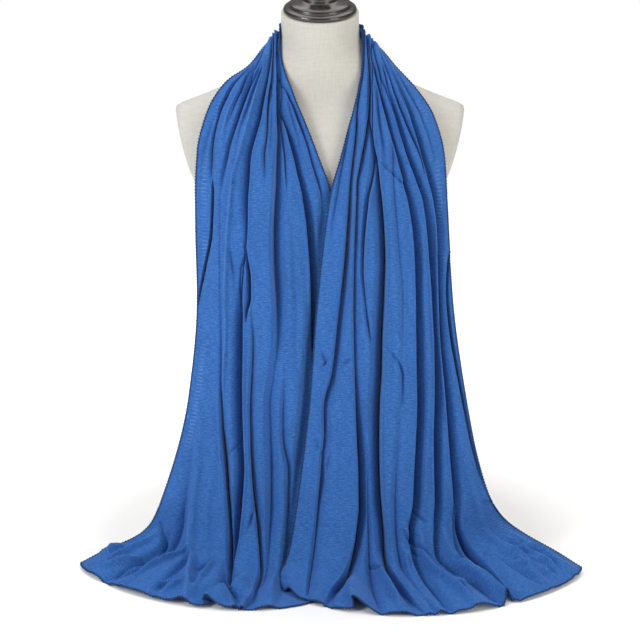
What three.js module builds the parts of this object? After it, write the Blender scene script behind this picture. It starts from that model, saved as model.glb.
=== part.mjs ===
// A jersey headscarf hung round the neck of a limbless dress form. Both ends fall down the front
// in gathered folds and their last stretch lies spread on the surface that the form stands on.
// Millimetres. +X is the viewer's right, +Y runs away from the viewer, +Z is up.
// The origin is the middle of the form's flat foot.
import * as THREE from "three";

// Driving dimensions
const CLOTH_WALL = 1.2;
const SEAM_GAP = 0.4; // left between two stretches of the one cloth
const SEAM_SLOPE_REACH = 20; // how far past a seam its slope is taken from
const FORM_CLEARANCE = 1.2; // least distance from the form to the middle of the cloth's wall
const FLOOR_LIFT = 0.65; // middle of the wall where the cloth lies on the floor
const NECK_TILT = Math.tan(THREE.MathUtils.degToRad(15.4)); // the neck's top slopes down to the front
const NECK_TOP = 736;
const NECK_TILT_START = 642;
const BUST = { x: 76, z: 478, swell: 20, wide: 42, tall: 48 };
const ARM_CUT = { z: 515, x: 168, slope: 0.2526, from: 460 }; // the leaning flat that closes each side
const ARM_CAP = { z: 560, tall: 50, halfAngle: 0.45, edge: 2, dome: 4, gap: 0.3 };

// The form's outline by height: half width, and depth to the front and to the back.
const FORM_SECTIONS = [
  { z: 0, wide: 158, front: 92, back: 104 },
  { z: 12, wide: 163, front: 97, back: 110 },
  { z: 70, wide: 170, front: 101, back: 118 },
  { z: 150, wide: 171, front: 102, back: 120 },
  { z: 240, wide: 146, front: 95, back: 104 },
  { z: 325, wide: 122, front: 85, back: 88 },
  { z: 395, wide: 130, front: 92, back: 88 },
  { z: 440, wide: 142, front: 99, back: 92 },
  { z: 478, wide: 158, front: 104, back: 96 },
  { z: 515, wide: 182, front: 104, back: 99 },
  { z: 537, wide: 204, front: 98, back: 99 },
  { z: 560, wide: 217, front: 88, back: 96 },
  { z: 585, wide: 221, front: 74, back: 90 },
  { z: 604, wide: 211, front: 62, back: 82 },
  { z: 616, wide: 187, front: 56, back: 75 },
  { z: 627, wide: 158, front: 53, back: 69 },
  { z: 640, wide: 127, front: 52, back: 64 },
  { z: 651, wide: 103, front: 52, back: 61 },
  { z: 665, wide: 82, front: 52, back: 58 },
  { z: 682, wide: 65, front: 51, back: 55 },
  { z: 696, wide: 56.5, front: 50.5, back: 53.5 },
  { z: 710, wide: 52.5, front: 50.5, back: 53 },
  { z: NECK_TOP, wide: 51.5, front: 50, back: 51.5 },
];

// The turned wooden cap on the neck, radius and height above the neck's top, foot to knob.
const CAP_PROFILE = [
  [0, 0.4],
  [46.4, 0.4],
  [48.6, 1.6],
  [49, 4.2],
  [47.6, 6.8],
  [44.4, 8],
  [41.8, 8.4],
  [42, 10.4],
  [40.4, 12.8],
  [36.8, 14.4],
  [31, 15.6],
  [24.8, 16.8],
  [23.4, 18.2],
  [23.2, 20.6],
  [20.8, 22.4],
  [15, 24.8],
  [12.8, 29.4],
  [14, 34.6],
  [18.2, 40.6],
  [20.4, 47.6],
  [18.6, 55],
  [13.4, 61.4],
  [7, 64.8],
  [0, 65.8],
];

// Each half of the scarf runs from the middle of the nape to its hem. A station is a line across
// the cloth at a distance `run` along it: where its outer and inner long edges are, and how far its
// middle swells from the straight line between them.
const LEFT_STATIONS = [
  { run: 0, outer: [0, 75, 653], inner: [0, 60, 716], swell: [0, 8, 2] },
  { run: 54, outer: [-63, 50, 667], inner: [-44, 42, 720], swell: [-5, 5, 2] },
  { run: 106, outer: [-72, 0, 692], inner: [-54, -3, 721], swell: [-2, -3, 1] },
  { run: 150, outer: [-94, -24, 667], inner: [-51, -34, 682], swell: [0, -8, 4] },
  { run: 196, outer: [-125, -42, 646], inner: [-35, -64, 634], swell: [0, -14, 6] },
  { run: 242, outer: [-148, -58, 609], inner: [-19, -82, 598], swell: [0, -18, 2] },
  { run: 298, outer: [-160, -80, 561], inner: [-2, -101, 556], swell: [0, -22, 0] },
  { run: 352, outer: [-162, -98, 505], inner: [14, -112, 509], swell: [0, -32, 0] },
  { run: 490, outer: [-161, -116, 370], inner: [26, -118, 372], swell: [0, -31, 0] },
  { run: 620, outer: [-174, -124, 240], inner: [32, -122, 240], swell: [0, -30, 0] },
  { run: 762, outer: [-212, -125, 100], inner: [32, -128, 100], swell: [0, -32, 0] },
  { run: 844, outer: [-240, -106, 42], inner: [20, -158, 30], swell: [0, -48, -8] },
  { run: 892, outer: [-278, -106, 17], inner: [2, -200, 12], swell: [0, -62, -4] },
  { run: 940, outer: [-324, -124, 2], inner: [-8, -236, 2], swell: [-4, -78, 0] },
];
const RIGHT_STATIONS = [
  { run: 0, outer: [0, 75, 653], inner: [0, 60, 716], swell: [0, 8, 2] },
  { run: 54, outer: [63, 50, 665], inner: [45, 42, 718], swell: [5, 5, 2] },
  { run: 106, outer: [77, 0, 690], inner: [57, -3, 717], swell: [3, -3, 1] },
  { run: 150, outer: [100, -24, 666], inner: [56, -36, 679], swell: [0, -8, 4] },
  { run: 196, outer: [125, -42, 640], inner: [49, -66, 634], swell: [0, -14, 6] },
  { run: 242, outer: [149, -58, 604], inner: [38, -84, 595], swell: [0, -18, 2] },
  { run: 298, outer: [162, -78, 556], inner: [27, -104, 556], swell: [0, -24, 0] },
  { run: 352, outer: [166, -96, 500], inner: [14, -121, 511], swell: [0, -32, 0] },
  { run: 490, outer: [174, -114, 374], inner: [-3, -138, 374], swell: [0, -24, 0] },
  { run: 620, outer: [194, -123, 238], inner: [-14, -146, 236], swell: [0, -22, 0] },
  { run: 762, outer: [226, -120, 105], inner: [-31, -156, 98], swell: [0, -24, 0] },
  { run: 844, outer: [266, -92, 42], inner: [-42, -172, 32], swell: [0, -54, -8] },
  { run: 892, outer: [308, -112, 17], inner: [-47, -188, 13], swell: [0, -84, -4] },
  { run: 940, outer: [351, -142, 2], inner: [-49, -202, 2], swell: [0, -114, 0] },
];

// The folds' valleys, from the outer edge to the inner one. `outward` and `inward` are how far a
// valley's two flanks reach, and a short flank makes the crisp edge of a fold that overlaps.
// `at` is the valley's place at each station, as a share of the way from the outer edge to the
// inner one, and `deep` is how far it sinks there, in millimetres.
const LEFT_FOLDS = [
  { name: "outer turn", outward: 5, inward: 11,
    at: [0.1, 0.105, 0.11, 0.11, 0.12, 0.11, 0.1, 0.11, 0.07, 0.08, 0.13, 0.16, 0.15, 0.13],
    deep: [6, 5, 3.6, 2, 2, 3, 4, 6, 5, 3, 3, 5, 5, 2] },
  { name: "shin fold", outward: 5, inward: 12,
    at: [0.22, 0.22, 0.22, 0.29, 0.38, 0.33, 0.28, 0.2, 0.19, 0.226, 0.355, 0.47, 0.45, 0.4],
    deep: [7, 6, 4, 5, 5, 5, 5, 3, 4, 9, 15, 9, 6, 2] },
  { name: "shoulder fold", outward: 7, inward: 6,
    at: [0.335, 0.333, 0.33, 0.44, 0.58, 0.55, 0.46, 0.36, 0.303, 0.335, 0.437, 0.55, 0.57, 0.56],
    deep: [7, 6, 4.2, 5, 6, 8, 9, 10, 12, 16, 18, 12, 8, 3] },
  { name: "lens fold", outward: 7, inward: 7,
    at: [0.44, 0.44, 0.44, 0.55, 0.66, 0.62, 0.56, 0.49, 0.38, 0.406, 0.51, 0.65, 0.69, 0.7],
    deep: [7, 6, 4.2, 5, 6, 9, 8, 4, 5, 5, 10, 10, 7, 3] },
  { name: "breast fold", outward: 13, inward: 14,
    at: [0.565, 0.562, 0.56, 0.66, 0.73, 0.71, 0.66, 0.594, 0.563, 0.52, 0.59, 0.71, 0.76, 0.78],
    deep: [7, 6, 4.2, 5, 7, 9, 10, 13, 20, 18, 12, 6, 4, 1] },
  { name: "short fold", outward: 6, inward: 9,
    at: [0.66, 0.665, 0.67, 0.75, 0.8, 0.77, 0.74, 0.677, 0.655, 0.613, 0.667, 0.78, 0.83, 0.85],
    deep: [7, 6, 4.2, 5, 5, 6, 6, 3, 4, 7, 8, 6, 4, 1] },
  { name: "front gap", outward: 7, inward: 6,
    at: [0.785, 0.782, 0.78, 0.83, 0.86, 0.83, 0.82, 0.8, 0.81, 0.795, 0.765, 0.84, 0.89, 0.91],
    deep: [7, 6, 4.2, 5, 5, 7, 9, 14, 22, 22, 16, 8, 4, 1] },
  { name: "neck edge fold", outward: 10, inward: 8,
    at: [0.9, 0.895, 0.89, 0.91, 0.92, 0.9, 0.9, 0.9, 0.91, 0.91, 0.9, 0.92, 0.95, 0.965],
    deep: [6, 5, 3.6, 4, 4, 5, 5, 3, 4, 4, 4, 4, 2, 1] },
];
const RIGHT_FOLDS = [
  { name: "outer sheet", outward: 12, inward: 5,
    at: [0.1, 0.105, 0.11, 0.16, 0.22, 0.26, 0.23, 0.125, 0.09, 0.125, 0.19, 0.22, 0.25, 0.27],
    deep: [6, 5, 3.6, 5, 7, 9, 9, 7, 8, 9, 12, 12, 9, 4] },
  { name: "shoulder crease", outward: 6, inward: 5,
    at: [0.22, 0.22, 0.22, 0.27, 0.33, 0.34, 0.31, 0.21, 0.18, 0.2, 0.3, 0.31, 0.33, 0.36],
    deep: [7, 6, 4.2, 5, 6, 7, 7, 10, 17, 19, 18, 12, 8, 4] },
  { name: "side fold", outward: 9, inward: 5,
    at: [0.335, 0.333, 0.33, 0.39, 0.45, 0.43, 0.39, 0.31, 0.267, 0.33, 0.4, 0.39, 0.41, 0.45],
    deep: [7, 6, 4.2, 5, 7, 9, 9, 11, 17, 19, 18, 11, 7, 4] },
  { name: "long fold", outward: 8, inward: 6,
    at: [0.44, 0.44, 0.44, 0.5, 0.56, 0.53, 0.46, 0.44, 0.4, 0.44, 0.49, 0.47, 0.49, 0.51],
    deep: [7, 6, 4.2, 5, 7, 8, 8, 3, 2, 2, 4, 8, 6, 3] },
  { name: "deep fold", outward: 5, inward: 14,
    at: [0.565, 0.562, 0.56, 0.61, 0.67, 0.68, 0.63, 0.56, 0.51, 0.555, 0.57, 0.56, 0.57, 0.59],
    deep: [7, 6, 4.2, 5, 5, 6, 9, 14, 21, 22, 20, 14, 9, 3] },
  { name: "soft fold", outward: 9, inward: 9,
    at: [0.66, 0.665, 0.67, 0.71, 0.77, 0.76, 0.71, 0.67, 0.64, 0.64, 0.63, 0.65, 0.67, 0.68],
    deep: [7, 6, 4.2, 5, 5, 6, 7, 8, 4, 4, 6, 6, 5, 2] },
  { name: "panel fold", outward: 13, inward: 5,
    at: [0.785, 0.782, 0.78, 0.82, 0.86, 0.84, 0.8, 0.79, 0.74, 0.72, 0.69, 0.74, 0.78, 0.81],
    deep: [7, 6, 4.2, 5, 7, 8, 8, 8, 4, 10, 19, 14, 9, 3] },
  { name: "neck edge fold", outward: 7, inward: 5,
    at: [0.9, 0.895, 0.89, 0.92, 0.95, 0.93, 0.89, 0.87, 0.85, 0.89, 0.89, 0.9, 0.91, 0.92],
    deep: [6, 5, 3.6, 4, 4, 7, 8, 9, 13, 7, 5, 4, 3, 1] },
];

// Below the breast the right half lies over the left one. This line, seen from the side as depth
// and height, runs between the two layers down to the floor.
const PARTING = [
  [-98, 600],
  [-107, 556],
  [-115, 511],
  [-128, 374],
  [-134, 238],
  [-142, 100],
  [-153, 45],
  [-174, 16],
  [-200, 4.5],
  [-300, 2.5],
];
const PARTING_MARGIN = 1.7; // from the line to the middle of each layer
const PARTING_BLEND = 16; // width over which a layer eases to its side of the line

// Where the hem lifts off the floor in a small arch that runs back up the cloth.
const LEFT_CURLS = [
  { at: 0.2, wide: 16, high: 5 },
  { at: 0.48, wide: 13, high: 6 },
  { at: 0.63, wide: 12, high: 12 },
  { at: 0.74, wide: 15, high: 8 },
];
const RIGHT_CURLS = [
  { at: 0.315, wide: 12, high: 10 },
  { at: 0.48, wide: 14, high: 6 },
  { at: 0.635, wide: 14, high: 12 },
  { at: 0.86, wide: 18, high: 6 },
];
const LANDING_START = 780; // the cloth turns to lie on the floor from this run on
const HEM_FULLNESS = 0.6; // power that squares off the hem's swell
const CURL_START = 850; // the arches grow from this run to the hem
const FOLD_LEAN = 0.3; // how far a valley's bottom slips under its crisp edge, per millimetre of depth
const LEAN_START = 4; // depth from which it slips
const PANEL_CROWN = 0.05; // how far the cloth between two valleys stands out, per millimetre of width
const FLANK_SHARE = 0.42; // the most of the way to its neighbour that a flank may reach
const MOST_MITRE = 1.5; // how much longer the wall's offset may get at a bend
const DEPTH_ROOM = 18; // a valley sinks no more than the square of the folds' spacing over this
// A valley's section: steps across it, and the share of its depth reached there.
const VALLEY_SECTION = [
  { step: -1, share: 0 },
  { step: -0.6, share: 0.3 },
  { step: -0.3, share: 1 },
  { step: 0.3, share: 1 },
  { step: 0.6, share: 0.3 },
  { step: 1, share: 0 },
];
const ROWS_PER_STATION = 2;
const FIRST_STATION_OF_FALL = 2;
const OVERLAP_STATION = 6; // the halves overlap from about this station down

// A smooth curve through (knots, values) that never overshoots them.
function smoothThrough(knots, values) {
  const slopes = values.slice(1).map((v, i) => (v - values[i]) / (knots[i + 1] - knots[i]));
  const tangents = values.map((_, i) => {
    if (i === 0) return slopes[0];
    if (i === values.length - 1) return slopes[i - 1];
    if (slopes[i - 1] * slopes[i] <= 0) return 0;
    return (2 * slopes[i - 1] * slopes[i]) / (slopes[i - 1] + slopes[i]);
  });
  return (x) => {
    let i = 0;
    while (i < knots.length - 2 && x > knots[i + 1]) i += 1;
    const h = knots[i + 1] - knots[i];
    const t = THREE.MathUtils.clamp((x - knots[i]) / h, 0, 1);
    const t2 = t * t;
    const t3 = t2 * t;
    return (2 * t3 - 3 * t2 + 1) * values[i] + (t3 - 2 * t2 + t) * h * tangents[i]
      + (3 * t2 - 2 * t3) * values[i + 1] + (t3 - t2) * h * tangents[i + 1];
  };
}

// The form
const formKnots = FORM_SECTIONS.map((s) => s.z);
const formWide = smoothThrough(formKnots, FORM_SECTIONS.map((s) => s.wide));
const formFront = smoothThrough(formKnots, FORM_SECTIONS.map((s) => s.front));
const formBack = smoothThrough(formKnots, FORM_SECTIONS.map((s) => s.back));

function formSide(z) {
  return z < ARM_CUT.from ? Infinity : ARM_CUT.x + ARM_CUT.slope * (z - ARM_CUT.z);
}

function bustAt(x, z) {
  const across = (Math.abs(x) - BUST.x) / BUST.wide;
  const up = (z - BUST.z) / BUST.tall;
  return BUST.swell * Math.exp(-across * across - up * up);
}

// A point of the form's skin: angle 0 is the viewer's right, and a quarter turn back is the front.
function formPoint(angle, z) {
  const reach = formWide(z) * Math.cos(angle);
  const x = Math.sign(reach) * Math.min(Math.abs(reach), formSide(z));
  const sine = Math.sin(angle);
  const y = sine < 0 ? (formFront(z) + bustAt(x, z)) * sine : formBack(z) * sine;
  const tilt = NECK_TILT * THREE.MathUtils.smoothstep(z, NECK_TILT_START, NECK_TOP - 20);
  return new THREE.Vector3(x, y, z + tilt * y);
}

// The form's front skin at (x, z), or null beside it. The neck's tilt is small where cloth passes.
function formFrontY(x, z) {
  const wide = formWide(z);
  if (z > NECK_TOP || Math.abs(x) > Math.min(wide, formSide(z))) return null;
  return -(formFront(z) + bustAt(x, z)) * Math.sqrt(1 - (x / wide) ** 2);
}

// A closed solid through rings of points, each ring going round the same way, with flat ends.
function loft(rings) {
  const count = rings[0].length;
  const points = rings.flat();
  const faces = [];
  for (let j = 0; j + 1 < rings.length; j += 1) {
    for (let k = 0; k < count; k += 1) {
      const a = j * count + k;
      const b = j * count + ((k + 1) % count);
      faces.push(a, b, b + count, a, b + count, a + count);
    }
  }
  for (const [ring, start, up] of [[rings[0], 0, false], [rings.at(-1), points.length - count, true]]) {
    const middle = points.length;
    points.push(ring.reduce((sum, p) => sum.add(p), new THREE.Vector3()).divideScalar(count));
    for (let k = 0; k < count; k += 1) {
      const a = start + k;
      const b = start + ((k + 1) % count);
      faces.push(...(up ? [a, b, middle] : [b, a, middle]));
    }
  }
  return geometryOf(points, faces);
}

function geometryOf(points, faces) {
  const geometry = new THREE.BufferGeometry().setFromPoints(points);
  geometry.setIndex(faces);
  geometry.computeVertexNormals();
  return geometry;
}

function torso() {
  const sides = 48;
  const rings = FORM_SECTIONS.map((section) =>
    Array.from({ length: sides }, (_, k) => formPoint((k / sides) * 2 * Math.PI, section.z)));
  return loft(rings);
}

// The covered oval that closes the form where an arm would start, laid on the form's skin.
function armCap(middleAngle) {
  const spokes = 20;
  const hoops = [0.12, 0.55, 0.86, 1];
  const lay = (share, turn, lift) => {
    const angle = middleAngle + share * ARM_CAP.halfAngle * Math.cos(turn);
    const z = ARM_CAP.z + share * ARM_CAP.tall * Math.sin(turn);
    const step = 0.01;
    const alongRing = formPoint(angle + step, z).sub(formPoint(angle - step, z));
    const upSkin = formPoint(angle, z + 1).sub(formPoint(angle, z - 1));
    const out = alongRing.cross(upSkin).normalize();
    return formPoint(angle, z).addScaledVector(out, lift);
  };
  const hoop = (share, lift) => Array.from({ length: spokes }, (_, k) =>
    lay(share, (k / spokes) * 2 * Math.PI, lift));
  const front = (share) => ARM_CAP.gap + ARM_CAP.edge + ARM_CAP.dome * (1 - share ** 2);
  return loft([
    ...hoops.map((share) => hoop(share, ARM_CAP.gap)),
    ...hoops.toReversed().map((share) => hoop(share, front(share))),
  ]);
}

// The cloth
function halfOfScarf(stations, folds, curls, side) {
  const runs = stations.map((s) => s.run);
  const track = (pick) => smoothThrough(runs, stations.map(pick));
  const vectorTrack = (key) => {
    const [x, y, z] = [0, 1, 2].map((axis) => track((s) => s[key][axis]));
    return (run) => new THREE.Vector3(x(run), y(run), z(run));
  };
  return {
    side,
    curls,
    runs,
    outer: vectorTrack("outer"),
    inner: vectorTrack("inner"),
    swell: vectorTrack("swell"),
    folds: folds.map((fold) => ({
      ...fold,
      place: smoothThrough(runs, fold.at),
      depth: smoothThrough(runs, fold.deep),
    })),
  };
}

// The cloth's smooth shape before it is folded, at a share of the way from outer to inner edge.
function unfolded(half, run, share) {
  const onFloor = THREE.MathUtils.smoothstep(run, LANDING_START, half.runs.at(-1));
  const fullness = THREE.MathUtils.lerp(1, HEM_FULLNESS, onFloor);
  return half.outer(run)
    .lerp(half.inner(run), share)
    .addScaledVector(half.swell(run), Math.sin(Math.PI * share) ** fullness);
}

// The columns of one row: each valley's flanks and bottom, and the crown between two valleys.
function foldColumns(half, run) {
  const width = half.outer(run).distanceTo(half.inner(run)) + 0.6 * half.swell(run).length();
  const places = half.folds.map((fold) => fold.place(run));
  const columns = [{ share: 0, sink: 0, slip: 0 }];
  half.folds.forEach((fold, i) => {
    const before = (places[i] - (i ? places[i - 1] : 0)) * width;
    const after = ((i + 1 < places.length ? places[i + 1] : 1) - places[i]) * width;
    const outward = Math.min(fold.outward, FLANK_SHARE * before);
    const inward = Math.min(fold.inward, FLANK_SHARE * after);
    const depth = Math.min(fold.depth(run), Math.min(before, after) ** 2 / DEPTH_ROOM);
    const lean = FOLD_LEAN * Math.sign(fold.outward - fold.inward);
    for (const { step, share } of VALLEY_SECTION) {
      columns.push({
        share: places[i] + (step * (step < 0 ? outward : inward)) / width,
        sink: share * depth,
        slip: lean * Math.max(0, share * depth - LEAN_START),
      });
    }
  });
  columns.push({ share: 1, sink: 0, slip: 0 });
  const withCrowns = [];
  columns.forEach((column, i) => {
    withCrowns.push(column);
    const betweenValleys = i % VALLEY_SECTION.length === 0 && i + 1 < columns.length;
    if (betweenValleys) {
      const room = columns[i + 1].share - column.share;
      withCrowns.push({ share: column.share + room / 2, sink: -PANEL_CROWN * room * width, slip: 0 });
    }
  });
  return withCrowns;
}

function curlLift(half, run, share) {
  const grown = THREE.MathUtils.smoothstep(run, CURL_START, half.runs.at(-1));
  const width = half.outer(run).distanceTo(half.inner(run));
  return half.curls.reduce((lift, curl) => {
    const off = ((share - curl.at) * width) / curl.wide;
    return lift + curl.high * grown * Math.exp(-off * off);
  }, 0);
}

// How far a point lies in front of the parting line, and the line's way out there.
function pastParting(y, z) {
  let nearest = { distance: Infinity };
  PARTING.slice(1).forEach(([y2, z2], i) => {
    const [y1, z1] = PARTING[i];
    const [dy, dz] = [y2 - y1, z2 - z1];
    const t = THREE.MathUtils.clamp(((y - y1) * dy + (z - z1) * dz) / (dy * dy + dz * dz), 0, 1);
    const distance = Math.hypot(y - y1 - t * dy, z - z1 - t * dz);
    if (distance >= nearest.distance) return;
    const length = Math.hypot(dy, dz);
    const out = [dz / length, -dy / length];
    const sign = (y - y1) * out[0] + (z - z1) * out[1] < 0 ? -1 : 1;
    nearest = { distance, sign, out };
  });
  return { ahead: nearest.sign * nearest.distance, out: nearest.out };
}

// Eases the point to its own side of the parting line where the other half overlaps it.
function keepLayer(half, run, point) {
  const isLeft = half === leftHalf;
  const otherEdge = (isLeft ? rightHalf : leftHalf).inner(run).x;
  const intoOverlap = isLeft ? point.x - otherEdge : otherEdge - point.x;
  const share = THREE.MathUtils.smoothstep(intoOverlap, -PARTING_BLEND, -2);
  if (share === 0 || run < half.runs[OVERLAP_STATION]) return;
  const { ahead, out } = pastParting(point.y, point.z);
  const kept = isLeft ? Math.min(ahead, -PARTING_MARGIN) : Math.max(ahead, PARTING_MARGIN);
  point.y += share * (kept - ahead) * out[0];
  point.z += share * (kept - ahead) * out[1];
}

function clothPoint(half, run, column) {
  const step = 0.01;
  const here = unfolded(half, run, column.share);
  const across = unfolded(half, run, Math.min(1, column.share + step))
    .sub(unfolded(half, run, Math.max(0, column.share - step))).normalize();
  const along = unfolded(half, run + 2, column.share).sub(unfolded(half, run - 2, column.share));
  const out = along.cross(across).multiplyScalar(half.side).normalize();
  here.addScaledVector(out, -column.sink).addScaledVector(across, column.slip);
  here.z += curlLift(half, run, column.share);
  keepLayer(half, run, here);
  const skin = formFrontY(here.x, here.z);
  if (skin !== null && here.y < 0) here.y = Math.min(here.y, skin - FORM_CLEARANCE);
  here.z = Math.max(here.z, FLOOR_LIFT);
  return here;
}

function clothRow(half, run) {
  return foldColumns(half, run).map((column) => clothPoint(half, run, column));
}

// A closed wall of cloth about a grid of middle points. `facing` is 1 where rows crossed with
// columns point out of the front of the cloth. The rows `before` and `after` lie past a seam, and
// give the wall the same slope on both sides of it.
function clothWall(rows, facing, before = rows[0], after = rows.at(-1)) {
  const last = rows.length - 1;
  const lastColumn = rows[0].length - 1;
  // The way out of the cloth's front at a point, longer at a bend so that the wall keeps its thickness.
  const outAt = (j, k) => {
    const along = (rows[j + 1] ?? after)[k].clone().sub((rows[j - 1] ?? before)[k]);
    const steps = [Math.max(1, k), Math.min(lastColumn, k + 1)].map((end) =>
      rows[j][end].clone().sub(rows[j][end - 1]).normalize());
    const across = steps[0].add(steps[1]);
    const stretch = Math.min(MOST_MITRE, 2 / across.length());
    return along.cross(across).multiplyScalar(facing).setLength(stretch);
  };
  const skin = (lift) => rows.map((row, j) => row.map((point, k) => {
    const moved = point.clone().addScaledVector(outAt(j, k), lift);
    moved.z = Math.max(moved.z, lift < 0 ? 0 : CLOTH_WALL);
    return moved;
  }));
  const points = [...skin(CLOTH_WALL / 2).flat(), ...skin(-CLOTH_WALL / 2).flat()];
  const columns = lastColumn + 1;
  const back = (last + 1) * columns;
  const faces = [];
  const quad = (a, b, c, d) => (facing > 0 ? faces.push(a, b, c, a, c, d) : faces.push(a, c, b, a, d, c));
  for (let j = 0; j < last; j += 1) {
    for (let k = 0; k < lastColumn; k += 1) {
      const a = j * columns + k;
      quad(a, a + columns, a + columns + 1, a + 1);
      quad(back + a, back + a + 1, back + a + columns + 1, back + a + columns);
    }
  }
  for (let k = 0; k < lastColumn; k += 1) {
    const bottom = last * columns + k;
    quad(k + 1, back + k + 1, back + k, k);
    quad(bottom, back + bottom, back + bottom + 1, bottom + 1);
  }
  for (let j = 0; j < last; j += 1) {
    const start = j * columns;
    const end = start + lastColumn;
    quad(start, back + start, back + start + columns, start + columns);
    quad(end + columns, back + end + columns, back + end, end);
  }
  return geometryOf(points, faces);
}

// Runs at each station and between them, from one station to another.
function rowRuns(half, first, last) {
  const runs = [];
  for (let i = first; i < last; i += 1) {
    for (let s = 0; s < ROWS_PER_STATION; s += 1) {
      runs.push(THREE.MathUtils.lerp(half.runs[i], half.runs[i + 1], s / ROWS_PER_STATION));
    }
  }
  return [...runs, half.runs[last]];
}

const leftHalf = halfOfScarf(LEFT_STATIONS, LEFT_FOLDS, LEFT_CURLS, 1);
const rightHalf = halfOfScarf(RIGHT_STATIONS, RIGHT_FOLDS, RIGHT_CURLS, -1);

function fall(half) {
  const runs = rowRuns(half, FIRST_STATION_OF_FALL, half.runs.length - 1);
  const pastSeam = clothRow(half, runs[0] - SEAM_SLOPE_REACH);
  return clothWall(runs.map((run) => clothRow(half, run)), half.side, pastSeam);
}

// The stretch behind the neck, from the left side of the neck round the nape to the right side.
function napeStretch() {
  const end = FIRST_STATION_OF_FALL;
  const pulledBack = (runs) => [...runs.slice(0, -1), runs.at(-1) - SEAM_GAP];
  const left = pulledBack(rowRuns(leftHalf, 0, end)).toReversed();
  const right = pulledBack(rowRuns(rightHalf, 0, end)).slice(1);
  const rows = [
    ...left.map((run) => clothRow(leftHalf, run)),
    ...right.map((run) => clothRow(rightHalf, run)),
  ];
  const pastLeft = clothRow(leftHalf, left[0] + SEAM_SLOPE_REACH);
  const pastRight = clothRow(rightHalf, right.at(-1) + SEAM_SLOPE_REACH);
  return clothWall(rows, -1, pastLeft, pastRight);
}

const jersey = new THREE.MeshStandardMaterial({ color: 0x2f5fa8, roughness: 0.85, metalness: 0 });
const linen = new THREE.MeshStandardMaterial({ color: 0xd6d2c6, roughness: 0.95, metalness: 0 });
const darkWood = new THREE.MeshStandardMaterial({ color: 0x2b211b, roughness: 0.3, metalness: 0 });

function piece(name, geometry, material) {
  const mesh = new THREE.Mesh(geometry, material);
  mesh.name = name;
  return mesh;
}

function neckCap() {
  const profile = CAP_PROFILE.map(([radius, height]) => new THREE.Vector2(radius, height));
  const cap = piece("form_neck_cap", new THREE.LatheGeometry(profile, 36), darkWood);
  cap.geometry.rotateX(Math.PI / 2);
  cap.rotation.x = Math.atan(NECK_TILT);
  cap.position.set(0, 1, NECK_TOP + NECK_TILT);
  return cap;
}

const part = new THREE.Group();
part.add(
  piece("form_torso", torso(), linen),
  piece("form_arm_cap_right", armCap(0), linen),
  piece("form_arm_cap_left", armCap(Math.PI), linen),
  neckCap(),
  piece("scarf_nape", napeStretch(), jersey),
  piece("scarf_left_fall", fall(leftHalf), jersey),
  piece("scarf_right_fall", fall(rightHalf), jersey),
);

export default part;
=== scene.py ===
import math
import bpy
import numpy as np
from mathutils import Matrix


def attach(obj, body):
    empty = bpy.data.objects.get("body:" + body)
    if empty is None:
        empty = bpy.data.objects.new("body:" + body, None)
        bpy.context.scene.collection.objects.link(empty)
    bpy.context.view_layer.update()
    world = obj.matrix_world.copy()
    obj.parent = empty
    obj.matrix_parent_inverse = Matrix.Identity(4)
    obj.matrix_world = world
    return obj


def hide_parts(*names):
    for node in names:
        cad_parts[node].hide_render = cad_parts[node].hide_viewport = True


# A jersey headscarf hung round the neck of a limbless dress form. Both ends fall down the front in
# gathered folds, and their last stretch lies spread on the floor. Sizes here are in millimetres and
# each mesh is scaled to metres when it is made.
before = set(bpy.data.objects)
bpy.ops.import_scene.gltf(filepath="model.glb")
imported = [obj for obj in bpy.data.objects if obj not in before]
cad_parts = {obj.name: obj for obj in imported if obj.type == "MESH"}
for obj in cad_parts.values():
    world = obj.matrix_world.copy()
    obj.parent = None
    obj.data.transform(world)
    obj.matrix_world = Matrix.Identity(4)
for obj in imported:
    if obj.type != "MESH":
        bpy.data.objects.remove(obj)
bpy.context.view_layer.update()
MM = 0.001

# The form, with the same sections as its solid
NECK_TILT = math.tan(math.radians(15.4))
NECK_TOP = 736
NECK_TILT_START = 642
BUST = {"x": 76, "z": 478, "swell": 20, "wide": 42, "tall": 48}
ARM_CUT = {"z": 515, "x": 168, "slope": 0.2526, "from": 460}
ARM_CAP = {"z": 560, "tall": 50, "half_angle": 0.45, "edge": 2, "dome": 4, "gap": 0.3}
# Height, half width, depth to the front, depth to the back
FORM_SECTIONS = [
    (0, 158, 92, 104),
    (12, 163, 97, 110),
    (70, 170, 101, 118),
    (150, 171, 102, 120),
    (240, 146, 95, 104),
    (325, 122, 85, 88),
    (395, 130, 92, 88),
    (440, 142, 99, 92),
    (478, 158, 104, 96),
    (515, 182, 104, 99),
    (537, 204, 98, 99),
    (560, 217, 88, 96),
    (585, 221, 74, 90),
    (604, 211, 62, 82),
    (616, 187, 56, 75),
    (627, 158, 53, 69),
    (640, 127, 52, 64),
    (651, 103, 52, 61),
    (665, 82, 52, 58),
    (682, 65, 51, 55),
    (696, 56.5, 50.5, 53.5),
    (710, 52.5, 50.5, 53),
    (NECK_TOP, 51.5, 50, 51.5),
]
CAP_BACK = 1 # how far the neck's middle lies behind the form's
# The turned cap's radius and height above the neck's top, from its foot to its knob
CAP_PROFILE = [
    (0, 0.4),
    (46.4, 0.4),
    (48.6, 1.6),
    (49, 4.2),
    (47.6, 6.8),
    (44.4, 8),
    (41.8, 8.4),
    (42, 10.4),
    (40.4, 12.8),
    (36.8, 14.4),
    (31, 15.6),
    (24.8, 16.8),
    (23.4, 18.2),
    (23.2, 20.6),
    (20.8, 22.4),
    (15, 24.8),
    (12.8, 29.4),
    (14, 34.6),
    (18.2, 40.6),
    (20.4, 47.6),
    (18.6, 55),
    (13.4, 61.4),
    (7, 64.8),
    (0, 65.8),
]

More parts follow.
